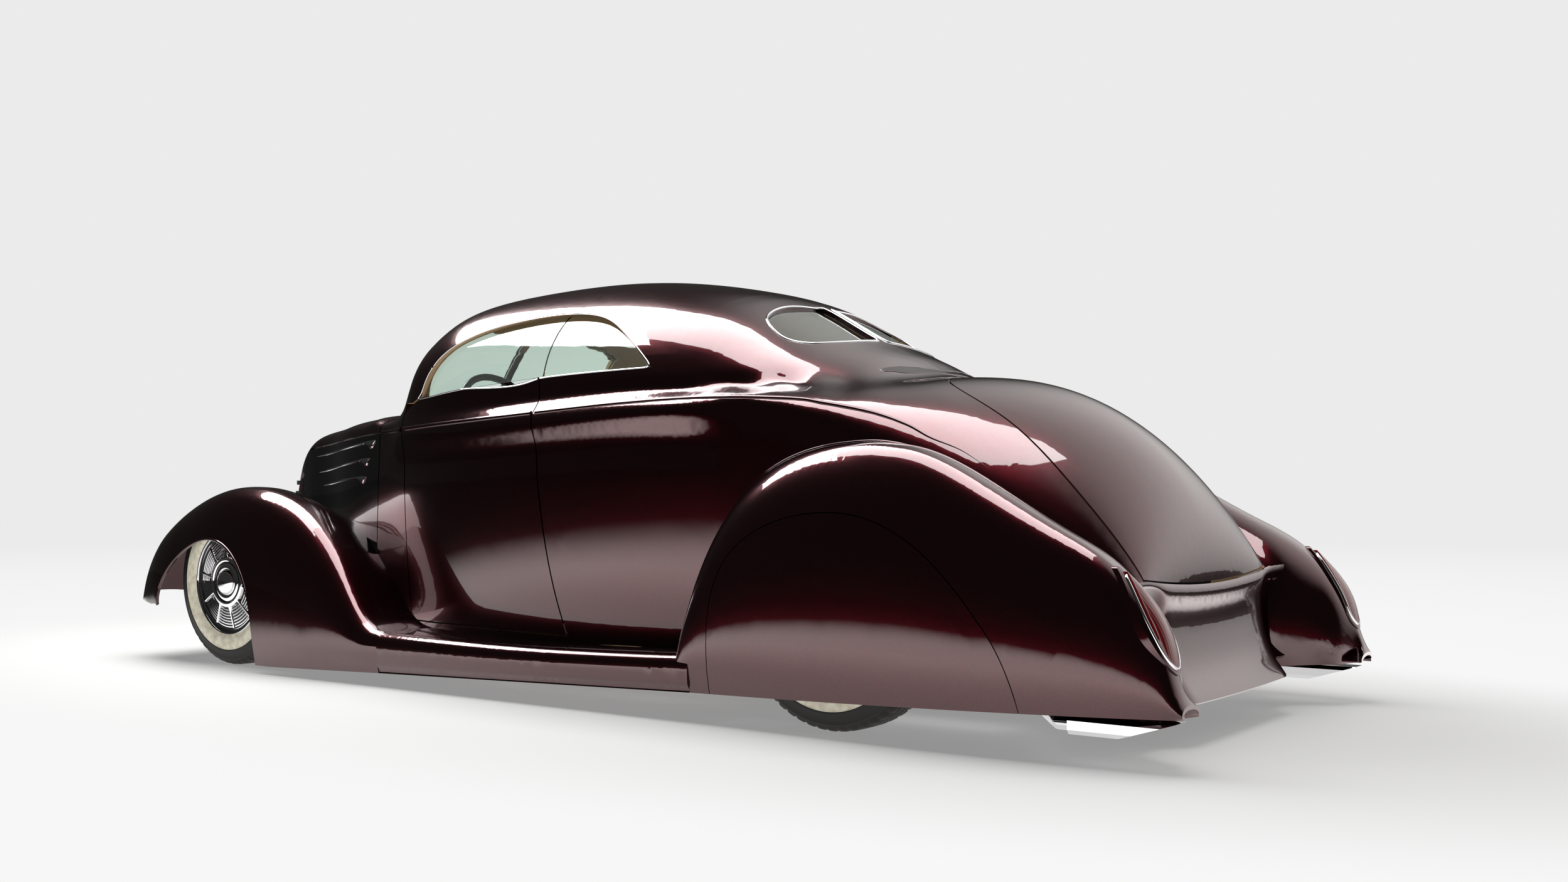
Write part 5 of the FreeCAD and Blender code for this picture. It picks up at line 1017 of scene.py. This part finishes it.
# %% Tail lamps
FROM_BEHIND = (Vector((0, 1, 0)), Vector((0, 0, 1)), Vector((1, 0, 0)))
tail_skin = Skin(["tail_lamps", "lamp_rims", "rear_fender_left", "quarter_left", "rear_pan"])
LENS_CENTRE = (0.765, 0.36)
LENS_STEP = 0.012
LENS_RINGS = 8


def on_lens(hit):
    return hit[2] == "tail_lamps"


def domed_lens(name, path, rise):
    """Lens that swells out of the place inside a closed edge."""
    across, up, sight = FROM_BEHIND
    places, normals, owners = evenly(*path, LENS_STEP, closed=True)
    eye = across * LENS_CENTRE[0] + up * LENS_CENTRE[1] - sight * FAR_OFF
    middle, outward, owner = tail_skin.hit(eye, sight)
    points, faces = [middle + outward * rise], []
    count = len(places)
    for ring in range(1, LENS_RINGS + 1):
        share = ring / LENS_RINGS
        for place in places:
            spot = middle.lerp(place, share)
            flat = spot - sight * spot.dot(sight)
            found, normal, owner = tail_skin.hit(flat - sight * FAR_OFF, sight)
            if found is None:
                found = spot
            points.append(found + outward * rise * (1 - share**2))
    for k in range(count):
        faces.append((0, 1 + k, 1 + (k + 1) % count))
    faces += [tuple(1 + index for index in face) for face in loop_faces(LENS_RINGS, count)]
    both_sides(name, points, faces, [red_lens], "car", sharp=SMOOTH_BEND)


LENS_SPOKES = {"count": 140, "steps": 250}
lens_edge = edge(tail_skin, FROM_BEHIND, LENS_CENTRE, on_lens, 0.4, reach=1 * MM, **LENS_SPOKES)
add_bead("tail_lens_strip", lens_edge, half_round(9 * MM, 5 * MM), chrome, closed=True)
dome_edge = edge(tail_skin, FROM_BEHIND, LENS_CENTRE, on_lens, 0.4, reach=-4 * MM, **LENS_SPOKES)
domed_lens("tail_lens_dome", dome_edge, 7 * MM)
print("lens edge points:", len(lens_edge[0]))

# %% [markdown]
# ## High brake lamp
# A narrow curved lamp with a smoked lens lies under the rear windows, with a rim in body colour.
# Its outline is dropped from above on to the roof panel, which is quicker than a cut in the solid.

# %% High brake lamp
top_skin = Skin(["roof", "quarter_left", "quarter_right", "deck_lid"])
slot_half = [(-1.123, 0.0), (-1.112, 0.09), (-1.097, 0.163), (-1.085, 0.238), (-1.080, 0.30),
             (-1.084, 0.315), (-1.096, 0.312), (-1.106, 0.275), (-1.129, 0.218), (-1.144, 0.098),
             (-1.150, 0.0)]
slot_outline = slot_half + [(x, -y) for x, y in reversed(slot_half[1:-1])]
LENS_ROWS, LENS_COLUMNS = 3, 6


def dropped(x, y):
    place, normal, owner = top_skin.hit((x, y, FAR_OFF), (0, 0, -1))
    return place, normal


slot_route = curve_through([(x, y, 0) for x, y in slot_outline + slot_outline[:1]], 0.012)[:-1]
slot_places = [dropped(spot.x, spot.y) for spot in slot_route]
points, faces = strip([place for place, normal in slot_places], [normal for place, normal in slot_places],
                      lambda i: half_round(5 * MM, 1.6 * MM), closed=True)
add_piece("high_brake_lamp_rim", points, faces, [paint], "car", sharp=SMOOTH_BEND)
slot_rows = []
for share in (0.0, 0.5, 1.0):
    for front, rear in zip(slot_half[:LENS_COLUMNS], reversed(slot_half[LENS_COLUMNS - 1:])):
        x, y = front[0] + (rear[0] - front[0]) * share, front[1] + (rear[1] - front[1]) * share
        slot_rows.append((x, y))
points = []
for side in (1, -1):
    for x, y in slot_rows:
        place, normal = dropped(x, side * y)
        points.append(place + normal * 1 * MM)
faces = loop_faces(LENS_ROWS, LENS_COLUMNS, close_columns=False)
faces += loop_faces(LENS_ROWS, LENS_COLUMNS, close_columns=False, first=len(slot_rows))
add_piece("high_brake_lamp_lens", points, faces, [smoked_lens], "car", sharp=SMOOTH_BEND)

# %% [markdown]
# ## Cushions
# The bench is leather over stuffing, sewn into channels. A block with round edges would look hard,
# so a plain prism is blown up by a cloth simulation, which wrinkles and swells it as stuffing does.
# The channels are then pressed in along their spacing.

# %% Cushions
COARSE_GRID, FINE_GRID = 14 * MM, 11 * MM
STUFFING_FRAMES = 20
MOST_SWELL = 14 * MM
SMOOTHING_ROUNDS = 6
PLEAT_DEPTH, PLEAT_WIDTH = 9 * MM, 7 * MM
SEAT_HALF = 0.495
CHANNELS = 9
STUFFING = {"quality": 5, "mass": 0.3, "tension_stiffness": 15, "use_pressure": True,
            "uniform_pressure_force": 4}


def prism(outline, half_width):
    points = [Vector((x, side * half_width, z)) for side in (-1, 1) for x, z in outline]
    count = len(outline)
    faces = [tuple(range(count)), tuple(range(count, 2 * count))]
    faces += [(k, (k + 1) % count, count + (k + 1) % count, count + k) for k in range(count)]
    return points, faces


def mesh_of(piece):
    graph = bpy.context.evaluated_depsgraph_get()
    return bpy.data.meshes.new_from_object(piece.evaluated_get(graph))


def cushion(name, outline, facing):
    """Stuffed cushion: a prism, remeshed, blown up as cloth, then pleated on its facing side."""
    points, faces = prism(outline, SEAT_HALF)
    piece = add_piece(name, points, faces, [tan_leather], "car")
    remesh = piece.modifiers.new("remesh", "REMESH")
    remesh.mode = "VOXEL"
    remesh.voxel_size = FINE_GRID
    fine = mesh_of(piece)
    piece.modifiers.clear()
    piece.data = fine
    before = [vertex.co.copy() for vertex in fine.vertices]
    cloth = piece.modifiers.new("stuffing", "CLOTH")
    for setting, value in STUFFING.items():
        setattr(cloth.settings, setting, value)
    cloth.settings.effector_weights.gravity = 0
    for step in range(1, STUFFING_FRAMES + 1):
        bpy.context.scene.frame_set(step)
    blown = mesh_of(piece)
    piece.modifiers.clear()
    piece.data = blown
    bpy.context.scene.frame_set(1)
    for vertex, start in zip(blown.vertices, before):
        move = vertex.co - start
        if move.length > MOST_SWELL:
            vertex.co = start + move.normalized() * MOST_SWELL
    mesh = piece.data
    builder = bmesh.new()
    builder.from_mesh(mesh)
    for step in range(SMOOTHING_ROUNDS):
        bmesh.ops.smooth_vert(builder, verts=builder.verts, factor=0.5, use_axis_x=True, use_axis_y=True,
                              use_axis_z=True)
    builder.normal_update()
    spacing = 2 * SEAT_HALF / CHANNELS
    for vertex in builder.verts:
        shown = max(0.0, vertex.normal.dot(facing))
        off = (vertex.co.y + SEAT_HALF) % spacing
        off = min(off, spacing - off)
        vertex.co -= facing * PLEAT_DEPTH * shown * math.exp(-(off / PLEAT_WIDTH) ** 2)
    builder.to_mesh(mesh)
    builder.free()
    for polygon in mesh.polygons:
        polygon.use_smooth = True
    return piece


base_outline = [(-0.055, 0.222), (0.410, 0.222), (0.420, 0.345), (0.395, 0.372), (0.33, 0.385),
                (-0.03, 0.358)]
back_outline = [(-0.205, 0.235), (-0.095, 0.235), (-0.075, 0.40), (-0.25, 0.872), (-0.31, 0.90),
                (-0.385, 0.87)]
seat_base = cushion("seat_cushion", base_outline, Vector((0, 0, 1)))
cushion("seat_back_cushion", back_outline, Vector((0.82, 0, 0.57)))
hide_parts("seat")
print("seat base faces:", len(seat_base.data.polygons))

# %% [markdown]
# ## Dials
# Three round dials with chrome rims and dark faces stand in the dashboard. They are turned about
# an axle like the wheel covers.

# %% Dials
dial_outline = [(0.0002, -4 * MM), (0.040, -4 * MM), (0.048, -6 * MM), (0.050, 2 * MM), (0.046, 6 * MM),
                (0.042, 4 * MM), (0.039, -1 * MM), (0.0002, -1 * MM)]
DIAL_STEPS = 48
DIAL_FACE, DIAL_HEIGHT = 0.716, 0.825
FACE_COLUMNS = (0, 6, 7)
dial_points, dial_faces = turned(dial_outline, DIAL_STEPS)
dial_bands = [1 if column in FACE_COLUMNS else 0 for column in range(len(dial_outline))] * DIAL_STEPS
for name, dial_y in (("dial_left", 0.405), ("dial_middle", 0.235), ("dial_right", -0.30)):
    placed_points = [Vector((DIAL_FACE - p.y, dial_y + p.x, DIAL_HEIGHT + p.z)) for p in dial_points]
    add_piece(name, placed_points, dial_faces, [chrome, dark_plastic], "car", dial_bands)
